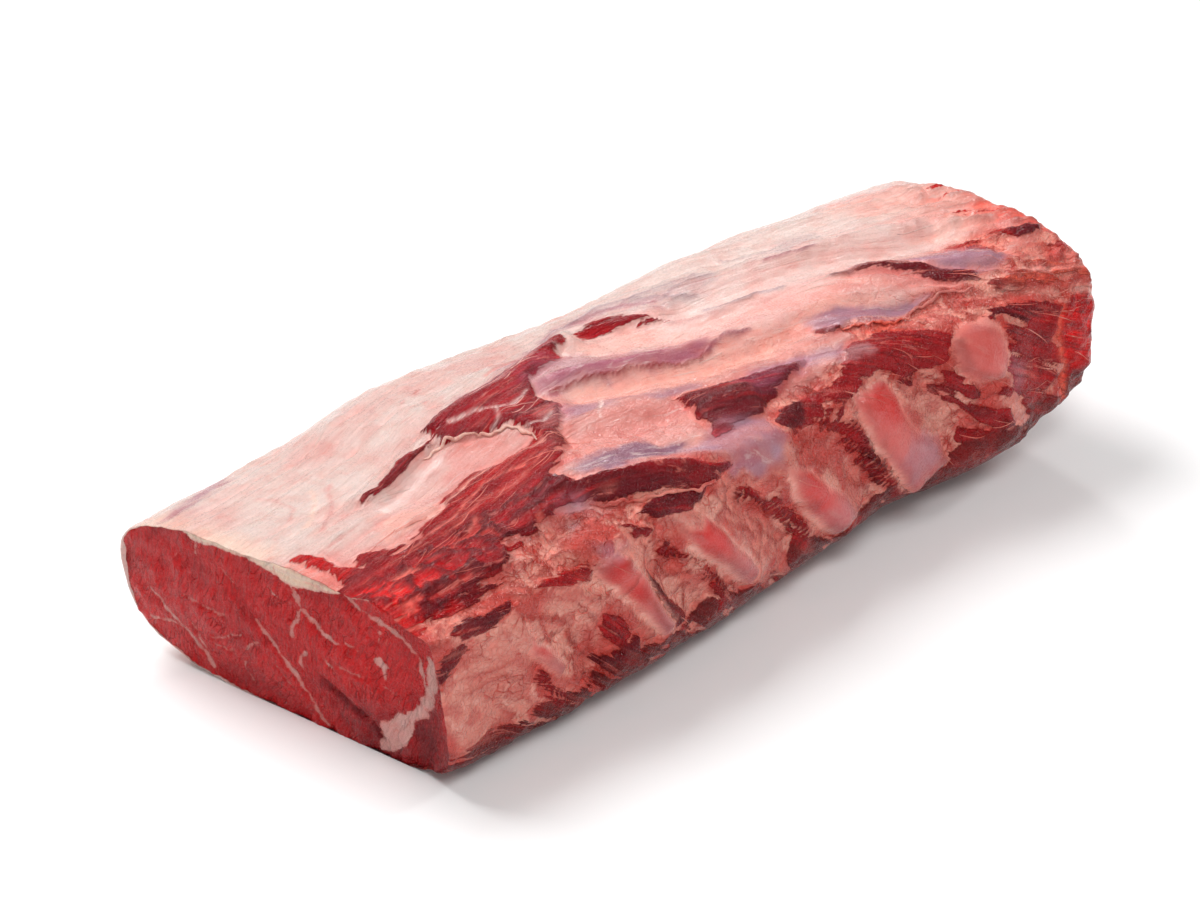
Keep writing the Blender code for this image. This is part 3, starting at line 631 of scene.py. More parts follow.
def sleeve_fields(t, g):
    """All that is known of each point of the sleeve: colours of the fat and of the muscle, mm inside the
    bared muscle, mm to the nearest crack between fat lobules, and the height of the fine relief."""
    u, v = t * LENGTH, g * GIRTH
    soft = ripples(u, v, 26, 11)
    fine = ripples(u, v, 7, 21)
    wander_u = 1.6 * ripple(u, v, 13, 31) + 0.8 * ripple(u, v, 5.0, 32) + 0.5 * ripple(u, v, 2.4, 33)
    wander_v = 1.6 * ripple(u, v, 13, 34) + 0.8 * ripple(u, v, 5.0, 35) + 0.5 * ripple(u, v, 2.4, 36)
    across, slope = grain_map(u, v)
    streak = 2.2 * ripples(u * 0.11, across, 3.4, 41)
    broad = 2.0 * ripples(u * 0.08, across, 9, 45, octaves=2)

    # Fat and its tints
    fat = np.empty(u.shape + (3,))
    fat[:] = linear(TISSUE["white"])
    right = ease(t + 0.02 * soft, 0.40, 0.66)
    low = ease(0.555 - g + 0.012 * soft + 0.05 * (t - 0.5), 0.0, 0.08)
    rib_side = ease(0.375 - g + 0.010 * soft + 0.03 * ease(t, 0.5, 0.8), 0, 0.03)
    paint(fat, "milk", 0.8 * right * (1 - 0.6 * low))
    paint(fat, "blush", 0.12 * right)
    paint(fat, "peach", 0.75 * low * ease(t, 0.22, 0.32) * (1 - 0.40 * right))
    paint(fat, "blush", 0.55 * low * (1 - ease(t, 0.22, 0.32)))
    paint(fat, "peach", ease(t + 0.03 * soft, 0.84, 0.98) * ease(0.60 - g, 0, 0.08) * 0.8)
    paint(fat, "cream", 0.9 * ease(0.032 - t, 0, 0.03) * ease(g, 0.50, 0.53) * (1 - ease(g, 0.66, 0.72)))
    paint(fat, "rib_fat", rib_side)
    paint(fat, "pale_fat", rib_side * ease(soft, -0.1, 0.5) * 0.8)
    paint(fat, "blush", ease(g, 0.66, 0.72) * 0.35)
    warm = (1 - rib_side) * (0.35 + 0.65 * np.maximum(low, right))
    paint(fat, "peach", 0.45 * ease(broad, 0.2, 1.6) * warm)
    paint(fat, "blush", 0.4 * ease(soft, 0.0, 0.6) * (1 - rib_side))
    paint(fat, "white", 0.6 * ease(-broad, 0.3, 1.6) * (1 - rib_side) * (1 - 0.4 * right))
    for outline, tint, strength, soft_edge in TINTS:
        place = inside(places(outline), u + 2 * wander_u, v + 2 * wander_v) + 2.0 * streak
        paint(fat, tint, strength * ease(place, -soft_edge, soft_edge))

    # Muscle and its tints
    lean = np.empty(u.shape + (3,))
    lean[:] = linear(TISSUE["lean"])
    depth = np.full(u.shape, FAR_OFF)
    hollow = np.zeros(u.shape)
    for outline, tint, sunk, torn, solid in BARED.values():
        torn_u, torn_v = u + (0.5 + 0.5 * torn) * wander_u, v + (0.4 + 0.3 * torn) * wander_v
        place = inside(places(outline), torn_u, torn_v)
        here = np.minimum(place, solid) + torn * streak * (1 + 0.4 * broad)
        paint(lean, tint, ease(place, -4.0, 0.5))
        depth = np.maximum(depth, np.where(place > -9, here, place))
        hollow = np.maximum(hollow, sunk * ease(here, -0.8, 1.8))
    comb = comb_teeth(u, v)
    paint(lean, "lean", ease(comb, -1, 0.5))
    depth = np.maximum(depth, comb)
    hollow = np.maximum(hollow, 1.3 * ease(comb, -0.6, 0.8))
    paint(lean, "maroon", 0.5 * ease(broad, 0.3, 1.5))
    paint(lean, "fresh", 0.4 * ease(-broad, 0.4, 1.6))
    paint(lean, "strand", 0.45 * ease(streak, 0.9, 2.2))
    paint(lean, "maroon", 0.5 * ease(-streak, 0.5, 1.8))

    # Red seen through thin rib-side fat at the far end, in threads along the fibres
    sparse = 5.0 * (1 - ease(t + 0.02 * soft, 0.70, 0.86)) + 2.2
    depth = np.maximum(depth, np.where(rib_side > 0.3, 1.6 * streak - sparse, FAR_OFF))

    # Rib beds
    bed = np.full(u.shape, FAR_OFF)
    bent_u, bent_v = u + 2.2 * ripple(u, v, 14, 56), v + 1.5 * ripple(u, v, 7, 57)
    for outline in BED_OUTLINES:
        bed = np.maximum(bed, inside(places(outline), bent_u, bent_v))
    in_bed = ease(bed, -0.7, 0.9)
    depth = np.where(bed > -1.5, np.minimum(depth, -bed - 1.0), depth)

    # Thin fat next to muscle is redder, except on the thick cover near the cut
    beside_muscle = np.exp(-np.maximum(-depth, 0) / 4.5) * (1 - 0.75 * ease(g, 0.42, 0.50))
    paint(fat, "thin", 0.75 * beside_muscle)
    paint(fat, "vein", 0.45 * np.exp(-(((bed + 2.0) / 0.9) ** 2)))
    paint(fat, "bed_rim", 0.55 * np.exp(-(((bed + 0.5) / 0.8) ** 2)))
    paint(fat, "bed_pink", in_bed)
    rim_share = 0.40 * np.exp(-np.maximum(bed, 0) / 1.8) + 0.30 * ease(streak, 0.3, 1.8)
    paint(fat, "bed_rim", in_bed * rim_share)
    paint(fat, "lavender", in_bed * 0.35 * ease(0.27 - g, 0, 0.05))
    paint(fat, "rib_fat", in_bed * 0.55 * ease(0.245 + 0.01 * soft - g, 0, 0.035))
    for t0, g0, reach in BED_REDS:
        u0, v0 = places([t0, g0])[0]
        near = np.hypot(u - u0 + wander_u, v - v0 + wander_v)
        paint(fat, "bed_red", 0.85 * ease(bed, -0.5, 3.0) * np.exp(-((near / reach) ** 2)))

    # Films of silverskin
    film = np.zeros(u.shape)
    for outline, tint, strength in FILMS:
        here = inside(places(outline), u + 1.6 * wander_u, v + 1.2 * wander_v) + 1.2 * streak
        here = ease(here, -3.0, 3.5) * strength * np.clip(1 + 0.22 * streak, 0.4, 1.15)
        paint(fat, tint, here)
        paint(lean, tint, 0.6 * here)
        film = np.maximum(film, here)

    # Creases and raised strands
    lines = np.zeros(u.shape)
    for path, half_width, rise, tint, strength in CREASES:
        far = beside(places(path), u + 0.8 * wander_u, v + 0.8 * wander_v)[0]
        share = np.exp(-((far / (half_width * (1 + 0.07 * streak).clip(0.6, 1.4))) ** 2))
        lines = lines + rise * share
        paint(fat, tint, strength * share)
        paint(lean, tint, strength * share)

    # Lobules of fat
    lobed = rib_side * (1 - in_bed) * (1 - film)
    lobed = np.maximum(lobed, 0.35 * ease(0.47 - g, 0, 0.03) * (1 - film) * (1 - in_bed))
    zone = np.zeros(u.shape)
    for outline, rise in LOBE_ZONES:
        here = inside(places(outline), u + wander_u, v + wander_v)
        zone = np.maximum(zone, rise * ease(here, -2.0, 2.5))
    lobed = np.maximum(lobed, np.minimum(zone, 1) * (1 - in_bed))
    big_crack, big_tint = cells(u + 2.2 * wander_u, v + 0.45 * u + 2.2 * wander_v, 10.0, 81, 1.3)
    small_crack, small_tint = cells(u + 1.6 * wander_u, v + 0.3 * u + 1.6 * wander_v, 5.5, 82, 1.3)
    uneven = (0.30 + 0.70 * ease(ripple(u, v, 21, 84), -0.30, 0.35)) * (0.45 + 0.55 * ease(t, 0.08, 0.15))
    domes = (2.9 * uneven - 0.5 * zone) * (1 - np.exp(-big_crack / 2.8))
    domes += zone * (1 - np.exp(-small_crack / 1.1))
    big_crack = big_crack + 1.2 * (1 - uneven)
    big_crack = np.where(zone > 0.6, np.minimum(big_crack, small_crack + 0.5), big_crack)
    pale = ease(big_tint + 0.1 * soft, 0.35, 0.80) * ease(big_crack, 0.0, 1.2)
    paint(fat, "pale_fat", lobed * 0.75 * pale)
    paint(fat, "rib_fat", lobed * 0.6 * ease(small_tint, 0.6, 0.95))

    # The heaped pulp beside the near cut
    pulp = ease(inside(places(BARED["near_dark"][0]), u, v), -8, 4)
    heap, heap_tint = cells(u + 2.5 * wander_u, v + 2.5 * wander_v, 8.0, 83, 1.7)
    paint(lean, "lean", 0.8 * pulp * ease(heap_tint, 0.40, 0.8))
    paint(lean, "fresh", 0.7 * pulp * ease(heap_tint, 0.70, 0.9) * ease(0.12 - t, 0, 0.10))
    # Some heaps are paler towards their crests: partly their own colour, partly painted highlight
    paint(lean, "thin", 0.6 * pulp * ease(heap_tint, 0.35, 0.10) * ease(heap, 0.5, 2.0))
    paint(lean, "strand", 0.6 * pulp * ease(heap_tint, 0.16, 0.06) * ease(heap + 0.4 * streak, 0.8, 2.2))
    # Painted shade: the crevices between heaps are painted dark maroon, partly their own colour
    paint(lean, "maroon", 0.75 * pulp * ease(heap + 0.3 * fine, 1.0, 0.2))

    # Fine relief
    muscle = ease(depth, -0.5, 0.8)
    height = -hollow + lines + 2.6 * pulp * (1 - np.exp(-heap / 1.8)) - 1.9 * ease(bed, -2.0, 5.0)
    height += 0.8 * np.exp(-(((depth + 1.8) / 1.4) ** 2)) * (1 - in_bed) * ease(g, 0.16, 0.2)
    height += muscle * (0.26 * streak + 0.30 * broad)
    height += lobed * (1 - muscle) * (domes - 0.9)
    height += (1 - muscle) * (1 - lobed) * (0.8 * soft + 0.12 * streak + 0.50 * broad + 0.14 * fine)
    height += 0.5 * np.exp(-(((bed + 0.6) / 1.0) ** 2)) + (0.16 + 0.30 * lobed) * fine * (1 - in_bed)
    ragged = 1.5 * ripple(0.3 * u, v, 13, 51) + 0.9 * ripple(0.3 * u, v, 6, 52)
    height += ragged * np.exp(-u / 7) * (1 - 0.7 * ease(g, 0.34, 0.40) * (1 - ease(g, 0.78, 0.84)))
    rough_end = 1.6 * ripple(u, v, 17, 53) + 1.2 * ripple(u, v, 8, 54) + 0.5 * ripple(u, v, 4, 55)
    height += rough_end * ease(t, 0.80, 0.95) * ease(0.66 - g, 0, 0.10) * (1 - in_bed)
    height *= np.clip((np.minimum(g, 1 - g) - 0.03) / 0.10, 0.25, 1)

    # Painted shade in hollows, darker and redder (partly real redness of thin fat), painted highlight on
    # crests, paler
    shade_and_highlight_relief = height + hollow - smoothed(height + hollow, SMOOTH_PASSES)
    paint(fat, "thin", 0.55 * ease(-shade_and_highlight_relief, 0.15, 1.0) * (1 - 0.7 * in_bed) * lobed)
    fat *= (1 + 0.20 * ease(shade_and_highlight_relief, 0.10, 0.8) - 0.30 * ease(-shade_and_highlight_relief, 0.2, 1.2))[..., None]
    # Painted shade: the muscle's hollows are painted maroon; painted highlight: its crests are made paler
    shade_and_highlight_relief = height - smoothed(height, SMOOTH_PASSES)
    paint(lean, "maroon", 0.55 * ease(-shade_and_highlight_relief, 0.1, 1.2))
    lean *= (1 + 0.45 * ease(shade_and_highlight_relief, 0.05, 0.6))[..., None]
    fat, lean = np.minimum(fat, 0.92), np.minimum(lean, 0.92)
    return {
        "fat_colour": fat, "lean_colour": lean, "depth": depth, "crack": big_crack, "lobed": lobed,
        "bed": in_bed, "height": height, "across": across, "slope": slope,
    }


def add_mesh(name, points, quads, fans=(), smooth=True):
    """A mesh object from points in mm, rows of four corners and rows of three."""
    mesh = bpy.data.meshes.new(name)
    corners = np.concatenate([np.asarray(quads, int).ravel(), np.asarray(fans, int).ravel()])
    sizes = np.concatenate([np.full(len(quads), 4), np.full(len(fans), 3)]).astype(int)
    starts = np.concatenate([[0], np.cumsum(sizes)[:-1]])
    mesh.vertices.add(len(points))
    mesh.vertices.foreach_set("co", (np.asarray(points) * MM).ravel())
    mesh.loops.add(len(corners))
    mesh.loops.foreach_set("vertex_index", corners)
    mesh.polygons.add(len(sizes))
    mesh.polygons.foreach_set("loop_start", starts)
    mesh.polygons.foreach_set("use_smooth", np.full(len(sizes), smooth))
    mesh.update(calc_edges=True)
    mesh.validate()
    piece = bpy.data.objects.new(name, mesh)
    bpy.context.scene.collection.objects.link(piece)
    return piece


def add_field(piece, name, values):
    """Stores a number or a colour for each vertex."""
    values = np.asarray(values)
    if values.ndim == 2:
        attribute = piece.data.attributes.new(name, "FLOAT_COLOR", "POINT")
        flat = np.concatenate([values, np.ones((len(values), 1))], axis=1).ravel()
        attribute.data.foreach_set("color", flat.astype(np.float32))
    else:
        attribute = piece.data.attributes.new(name, "FLOAT", "POINT")
        attribute.data.foreach_set("value", values.astype(np.float32))


def add_uv(piece, name, uv):
    """A UV map in metres from a pair of numbers for each vertex."""
    layer = piece.data.uv_layers.new(name=name)
    corner = np.empty(len(piece.data.loops), int)
    piece.data.loops.foreach_get("vertex_index", corner)
    layer.data.foreach_set("uv", (uv[corner] * MM).ravel().astype(np.float32))


def ring_quads(rows, columns):
    """Corner numbers of the quads of a grid that closes round its columns."""
    i, j = np.meshgrid(np.arange(rows - 1), np.arange(columns), indexing="ij")
    k = (j + 1) % columns
    corners = [i * columns + j, (i + 1) * columns + j, (i + 1) * columns + k, i * columns + k]
    return np.stack(corners, -1).reshape(-1, 4)


def stretches(ends, counts, closing):
    """Evenly spaced numbers in each stretch between two ends, with its own count."""
    parts = [np.linspace(a, b, n, endpoint=False) for a, b, n in zip(ends, ends[1:], counts)]
    return np.concatenate(parts + ([[ends[-1]]] if closing else []))


def sleeve_grid():
    """The shares of length and girth of the sleeve's grid."""
    even = stretches(ROW_ENDS, ROW_COUNTS, True)
    turn = np.linspace(0, np.pi / 2, ROUND_ROWS + 1)[1:]
    along = np.concatenate([even, even[-1] + np.sin(turn) * END_ROUND / LENGTH])
    around = stretches(COLUMN_ENDS, COLUMN_COUNTS, False)
    return along, around


def make_sleeve():
    """The sleeve of the roll with both ends closed by shallow caps, which the cut faces cover. Gives back
    the piece, and its grid of points with the fields."""
    along, around = sleeve_grid()
    t, g = np.meshgrid(along, around, indexing="ij")
    fields = sleeve_fields(t, g)
    points = sections(along, around)
    fade = np.clip((1 - t) * LENGTH / END_ROUND, 0, 1)
    edge = 0.6 + 0.4 * ease(t * LENGTH, 0, 5)
    height = solid_relief(t, g, t * LENGTH, g * GIRTH) * fade
    height += fields["height"] * edge * np.maximum(fade, 0.3)
    points = points + outward(points) * height[..., None]
    points[..., 0] -= face_swell(points[..., 1], points[..., 2]) * (1 - ease(t * LENGTH, 0, 26))
    rim, tip = points[0], points[-1]
    near_middle, far_middle = rim.mean(axis=0), tip.mean(axis=0)
    near = [near_middle + (rim - near_middle) * scale + (push, 0, 0) for scale, push in NEAR_CAP]
    far = [far_middle + (tip - far_middle) * scale + (push, 0, 0) for scale, push in FAR_CAP]
    rings = np.concatenate([near, points, far])
    count = len(around)
    quads = ring_quads(len(rings), count)
    poles = [near_middle + (CAP_DEPTHS[0], 0, 0), far_middle - (CAP_DEPTHS[1], 0, 0)]
    flat = np.concatenate([rings.reshape(-1, 3), poles])
    j = np.arange(count)
    k = (j + 1) % count
    last = (len(rings) - 1) * count
    near_fan = np.stack([k, np.full(count, len(flat) - 2), j], -1)
    far_fan = np.stack([last + j, np.full(count, len(flat) - 1), last + k], -1)
    piece = add_mesh("rib_roll_sleeve", placed(flat), quads, np.concatenate([near_fan, far_fan]))

    def padded(values):
        """The values of the grid, repeated for the caps and the two poles."""
        near_rows, far_rows = np.repeat(values[:1], len(near), 0), np.repeat(values[-1:], len(far), 0)
        rows = np.concatenate([near_rows, values, far_rows])
        flat_rows = rows.reshape((-1,) + rows.shape[2:])
        return np.concatenate([flat_rows, flat_rows[:1], flat_rows[-1:]])

    for name in ("fat_colour", "lean_colour", "depth", "crack", "lobed", "bed"):
        add_field(piece, name, padded(fields[name]))
    add_uv(piece, "grain", padded(np.stack([t * LENGTH, fields["across"]], -1)))
    fields["points"], fields["along"], fields["around"] = points, along, around
    return piece, fields


def on_sleeve(values, fields, t, g):
    """A field of the sleeve at other places, blended from the four corners of each place's cell."""
    along, around = fields["along"], fields["around"]
    i = np.interp(t, along, np.arange(len(along)))
    j = np.interp(g % 1, np.append(around, 1), np.arange(len(around) + 1))
    i0 = np.minimum(i.astype(int), len(along) - 2)
    j0 = np.minimum(j.astype(int), len(around) - 1)
    j1 = (j0 + 1) % len(around)
    fi, fj = i - i0, j - j0
    if values.ndim == 3:
        fi, fj = fi[..., None], fj[..., None]
    return ((values[i0, j0] * (1 - fj) + values[i0, j1] * fj) * (1 - fi)
            + (values[i0 + 1, j0] * (1 - fj) + values[i0 + 1, j1] * fj) * fi)


def add_shreds(name, spines, normals, radii, flatten, sides):
    """Many closed tapering tubes in one mesh. Each has a spine of points, the direction that is up at each
    point, and a radius there; a ring of sides is set round each point, and both ends close in a fan."""
    count, steps = radii.shape
    run = np.gradient(spines, axis=1)
    run /= np.maximum(np.linalg.norm(run, axis=-1, keepdims=True), 1e-9)
    side = np.cross(normals, run)
    side /= np.maximum(np.linalg.norm(side, axis=-1, keepdims=True), 1e-9)
    up = np.cross(run, side)
    turn = 2 * np.pi * np.arange(sides) / sides
    ring = (np.cos(turn)[:, None] * side[:, :, None, :]
            + np.sin(turn)[:, None] * up[:, :, None, :] * flatten) * radii[:, :, None, None]
    body = spines[:, :, None, :] + ring
    first_tip = spines[:, 0] - run[:, 0] * radii[:, :1]
    last_tip = spines[:, -1] + run[:, -1] * radii[:, -1:]
    ends = np.stack([first_tip, last_tip], 1)
    each = steps * sides
    one = ring_quads(steps, sides)[:, ::-1]
    quads = (one[None] + (np.arange(count) * each)[:, None, None]).reshape(-1, 4)
    j = np.arange(sides)
    k = (j + 1) % sides
    base = (np.arange(count) * each)[:, None]
    last = base + each - sides
    first_pole = count * each + 2 * np.arange(count)[:, None] + 0 * j
    start = np.stack([base + j, base + k, first_pole], -1).reshape(-1, 3)
    tail = np.stack([last + k, last + j, first_pole + 1], -1).reshape(-1, 3)
    points = np.concatenate([body.reshape(-1, 3), ends.reshape(-1, 3)])
    return add_mesh(name, placed(points), quads, np.concatenate([start, tail]))


def spread_out(values, sides):
    """The values of each spine's points, given to the rings round them and to the two poles of each."""
    rings = np.repeat(values, sides, axis=1)
    poles = np.stack([values[:, 0], values[:, -1]], 1)
    return np.concatenate([part.reshape((-1,) + values.shape[2:]) for part in (rings, poles)])


# Torn edges with a curled rim: path, radius in mm, colour name
RIMS = [
    ([200, 521, 232, 524, 244, 517, 262, 508, 284, 492, 287, 470, 280, 456], 0.75, "cream"),
    ([440, 430, 456, 430, 480, 424, 505, 414], 0.6, "peach"),
    ([245, 368, 280, 352, 315, 341, 350, 333, 392, 328], 0.8, "rib_fat"),
    ([666, 399, 690, 388, 715, 377, 740, 371], 0.8, "orange"),
    ([740, 376, 760, 385, 800, 386, 830, 376], 0.7, "peach"),
]
RIM_STEPS, RIM_SIDES, RIM_FLATNESS = 90, 12, 0.6


def make_rims(fields):
    """Curled rims along the torn edges: a lumpy tube along each path, half sunk in the sleeve."""
    rng = np.random.default_rng(5)
    spines, normals, radii, tints = [], [], [], []
    up = outward(fields["points"])
    for path, radius, tint in RIMS:
        corners = places(path)
        gone = np.concatenate([[0], np.cumsum(np.hypot(*np.diff(corners, axis=0).T))])
        s = np.linspace(0, gone[-1], RIM_STEPS)
        seed = int(rng.integers(1000))
        waves = [ripple(s, 0 * s, size, seed + k, False) for k, size in enumerate((9, 4, 9, 4, 7, 10))]
        u = np.interp(s, gone, corners[:, 0]) + 1.3 * waves[0] + 0.7 * waves[1]
        v = np.interp(s, gone, corners[:, 1]) + 1.3 * waves[2] + 0.7 * waves[3]
        t, g = u / LENGTH, v / GIRTH
        taper = np.minimum(1, np.minimum(s, gone[-1] - s) / 8) ** 0.6
        size = radius * (1 + 0.7 * waves[4]) * (0.25 + 0.75 * taper)
        normal = on_sleeve(up, fields, t, g)
        sink = 0.55 + 0.5 * waves[5] + 0.9 * (1 - taper)
        spines.append(on_sleeve(fields["points"], fields, t, g) - normal * (sink * size)[:, None])
        normals.append(normal)
        radii.append(size)
        own = on_sleeve(fields["fat_colour"], fields, t, g)
        tints.append(0.5 * own + 0.5 * linear(TISSUE[tint]))
    spines, normals, radii, tints = [np.array(rows) for rows in (spines, normals, radii, tints)]
    piece = add_shreds("torn_rims", spines, normals, radii, RIM_FLATNESS, RIM_SIDES)
    add_field(piece, "colour", spread_out(tints, RIM_SIDES))
    return piece


# Where threads of skin lie over the meat: a box of places, how many, and the colour name
THREADS = [
    (0.03, 0.20, 0.37, 0.43, 12, "thin"), (0.05, 0.28, 0.41, 0.46, 22, "strand"),
    (0.24, 0.42, 0.54, 0.57, 8, "blush"), (0.29, 0.34, 0.45, 0.52, 8, "blush"),
    (0.60, 0.76, 0.32, 0.37, 14, "strand"), (0.78, 0.98, 0.36, 0.44, 24, "strand"),
    (0.78, 0.98, 0.22, 0.36, 30, "strand"), (0.02, 0.30, 0.21, 0.33, 8, "strand"),
    (0.30, 0.80, 0.20, 0.30, 14, "strand"), (0.02, 0.30, 0.48, 0.64, 14, "white"),
    (0.45, 0.90, 0.46, 0.60, 12, "white"),
]
THREAD_STEPS, THREAD_SIDES, THREAD_FLATNESS = 14, 6, 0.9


def make_threads(fields):
    """Thin threads that follow the fibres: each walks from a random place along the slope of the grain."""
    rng = np.random.default_rng(17)
    rows = np.repeat(np.arange(len(THREADS)), [row[4] for row in THREADS])
    box = np.array([row[:4] for row in THREADS])[rows]
    tints = np.array([linear(TISSUE[row[5]]) for row in THREADS])[rows]
    count, steps = len(rows), THREAD_STEPS
    u = rng.uniform(box[:, 0], box[:, 1]) * LENGTH
    v = rng.uniform(box[:, 2], box[:, 3]) * GIRTH
    length = rng.uniform(7, 26, count)
    veer = rng.normal(0, 0.10, count)
    bend = rng.normal(0, 0.012, count)
    us, vs = [u], [v]
    for i in range(steps - 1):
        slope = on_sleeve(fields["slope"], fields, np.clip(u / LENGTH, 0, 1), v / GIRTH)
        slope = slope + veer + bend * i * 3
        run = length / steps / np.sqrt(1 + slope**2)
        u, v = u + run, v + run * slope
        us.append(u)
        vs.append(v)
    t, g = np.clip(np.array(us).T / LENGTH, 0.004, 0.985), np.array(vs).T / GIRTH
    normal = on_sleeve(outward(fields["points"]), fields, t, g)
    s = np.linspace(0, 1, steps)[None, :]
    size = rng.uniform(0.12, 0.34, (count, 1)) * (0.35 + 0.65 * np.sin(np.pi * s))
    lift = 0.15 - 1.5 * (2 * s - 1) ** 6
    spines = on_sleeve(fields["points"], fields, t, g) + normal * (size * lift)[..., None]
    piece = add_shreds("skin_threads", spines, normal, size, THREAD_FLATNESS, THREAD_SIDES)
    own = 0.5 * on_sleeve(fields["fat_colour"], fields, t, g) + 0.5 * tints[:, None]
    own = np.clip(own * rng.uniform(0.95, 1.2, (count, 1, 1)), 0, 0.9)
    add_field(piece, "colour", spread_out(own, THREAD_SIDES))
    return piece


# Cut faces, seen square on: rows of points in mm, each across towards the back and then up.
# Seams of fat: path and width
SEAMS = [
    ([-30, 80, -45, 75.5, -58, 71, -68, 68, -75, 61, -79, 53, -78, 45, -73, 37], 1.6),
    ([-84, 63, -83, 55, -80, 48, -76, 40, -71, 33, -63, 27, -55, 20, -49, 12], 3.6),
    ([-12, 75, -13, 68, -17, 62, -23, 57, -29, 53, -34, 52], 1.6),
    ([-18, 62, -14, 58, -11, 52, -9, 46], 1.4),
    ([10, 46, 4, 39, -2, 32, -8, 24, -11, 16, -13, 9, -18, 3], 1.5),
    ([71, 39, 64, 32, 57, 25, 51, 19, 46, 14, 43, 9], 1.5),
    ([50, 20, 57, 23, 65, 23, 73, 21], 0.9),
    ([45, 17, 47, 24, 50, 28], 0.8),
    ([-56, 44, -57, 50, -54, 52], 1.8),
    ([-55, 61, -57, 66], 1.2),
    ([-45, 53, -38, 54], 0.7),
    ([-47, 41, -34, 42], 0.6),
    ([-30, 40, -25, 42], 0.5),
    ([-12, 30, -12, 37, -15, 40], 1.0),
    ([11, 34, 17, 30, 19, 27], 0.6),
    ([20, 35, 28, 30, 38, 26], 0.5),
    ([28, 42, 40, 42, 50, 43], 0.5),
    ([20, 60, 25, 65], 0.8),
    ([22, 10, 24, 16, 21, 21], 0.6),
    ([28, 24, 38, 22], 0.5),
    ([-4, 62, 0, 66], 0.7),
    ([-4, 17, 3, 25], 0.5),
    ([38, 74, 40, 66], 1.0),
    ([-60, 38, -54, 40], 0.7),
]

# Outlines of the thick fat beside the strip, of the strip of meat at the rib-side edge, of the red notch in
# the cover, of the cover of fat along the top and of the fat at the edge. The crevice is a path
BLOB = [-68, 30, -60, 28.5, -53, 20, -46, 9, -46, 3, -52, 5, -58, 9, -63, 15, -67, 24]
STRIP = [-97, 66, -88, 60, -82, 57, -76, 44, -69, 29, -64, 15, -60, 4, -56, -3, -72, -3, -76, 12, -82, 28,
         -88, 42]
NOTCH = [-92, 80, -74, 75, -52, 77, -44, 82, -60, 90, -92, 90]
CREVICE = [-47, 12, -42, 18, -36, 22, -24, 28]
BAND = [-60, 90, -54, 80, -44, 78, -34, 75, -24, 73, -16, 71, -10, 72, 0, 74, 14, 75.5, 28, 75, 38, 73.5,
        44, 75.5, 56, 77, 64, 76, 76, 74, 90, 80, 60, 100]
SIDE_FAT = [-100, 60, -93, 53, -90, 46, -89, 40, -91, 34, -100, 32]

# Broad swells of the near face: middle, reach and rise. Its rib-side edge stands out too
FACE_SWELLS = [((25, 38), (42, 26), 3.5), ((-38, 34), (28, 26), 3.0)]
EDGE_STRIP_OUT, EDGE_STRIP_WIDTH = 6.0, 17.0

FACE_CORNERS = (0.185, 0.335, 0.700, 0.865)  # shares of the girth at the corners of the face's grid
FACE_STEPS = (196, 84)
FACE_SHARE = 0.986  # of the rim's width
NEAR_FACE = (-89, 87, 0, 79)  # from, to across, and from, to up: the far face's pattern is fitted to it
SKIRT = [(0.995, 2.0), (0.96, 12.0)]  # the rings behind a face: share of its width, and depth


def face_grid(rim, around):
    """Points across a cut face: the blend of its four edges, each a stretch of the rim, less the blend of
    its four corners, so the grid follows the outline all round."""
    wide, tall = FACE_STEPS
    lower_rib, upper_rib, upper_back, lower_back = FACE_CORNERS
    gone = np.concatenate([around, around + 1])
    ring = np.concatenate([rim, rim])

    def edge(start, end, count):
        """Points along the rim, from one share of the girth to another."""
        shares = np.linspace(start, end, count + 1)
        return np.stack([np.interp(shares, gone, ring[:, axis]) for axis in range(3)], -1)

    rib = edge(lower_rib, upper_rib, tall)[None, :]
    top = edge(upper_rib, upper_back, wide)[:, None]
    back = edge(lower_back, upper_back, tall)[None, :]
    bottom = edge(1 + lower_rib, lower_back, wide)[:, None]
    a = np.linspace(0, 1, wide + 1)[:, None, None]
    b = np.linspace(0, 1, tall + 1)[None, :, None]
    corners = ((1 - a) * (1 - b) * rib[:, :1] + (1 - a) * b * rib[:, -1:]
               + a * (1 - b) * back[:, :1] + a * b * back[:, -1:])
    return (1 - b) * bottom + b * top + (1 - a) * rib + a * back - corners


def face_swell(y, z):
    """How far the near face stands out: two broad muscle swells and the strip at its rib-side edge."""
    out = np.zeros(y.shape)
    for (across, up), (wide, tall), rise in FACE_SWELLS:
        out += rise * np.exp(-(((y - across) / wide) ** 2) - ((z - up) / tall) ** 2)
    from_edge = (y + RIB_REACH[0] + 4) / EDGE_STRIP_WIDTH
    return out + EDGE_STRIP_OUT * np.exp(-(from_edge**2)) * np.clip(1.3 - z / TOP_HEIGHT[0], 0, 1)


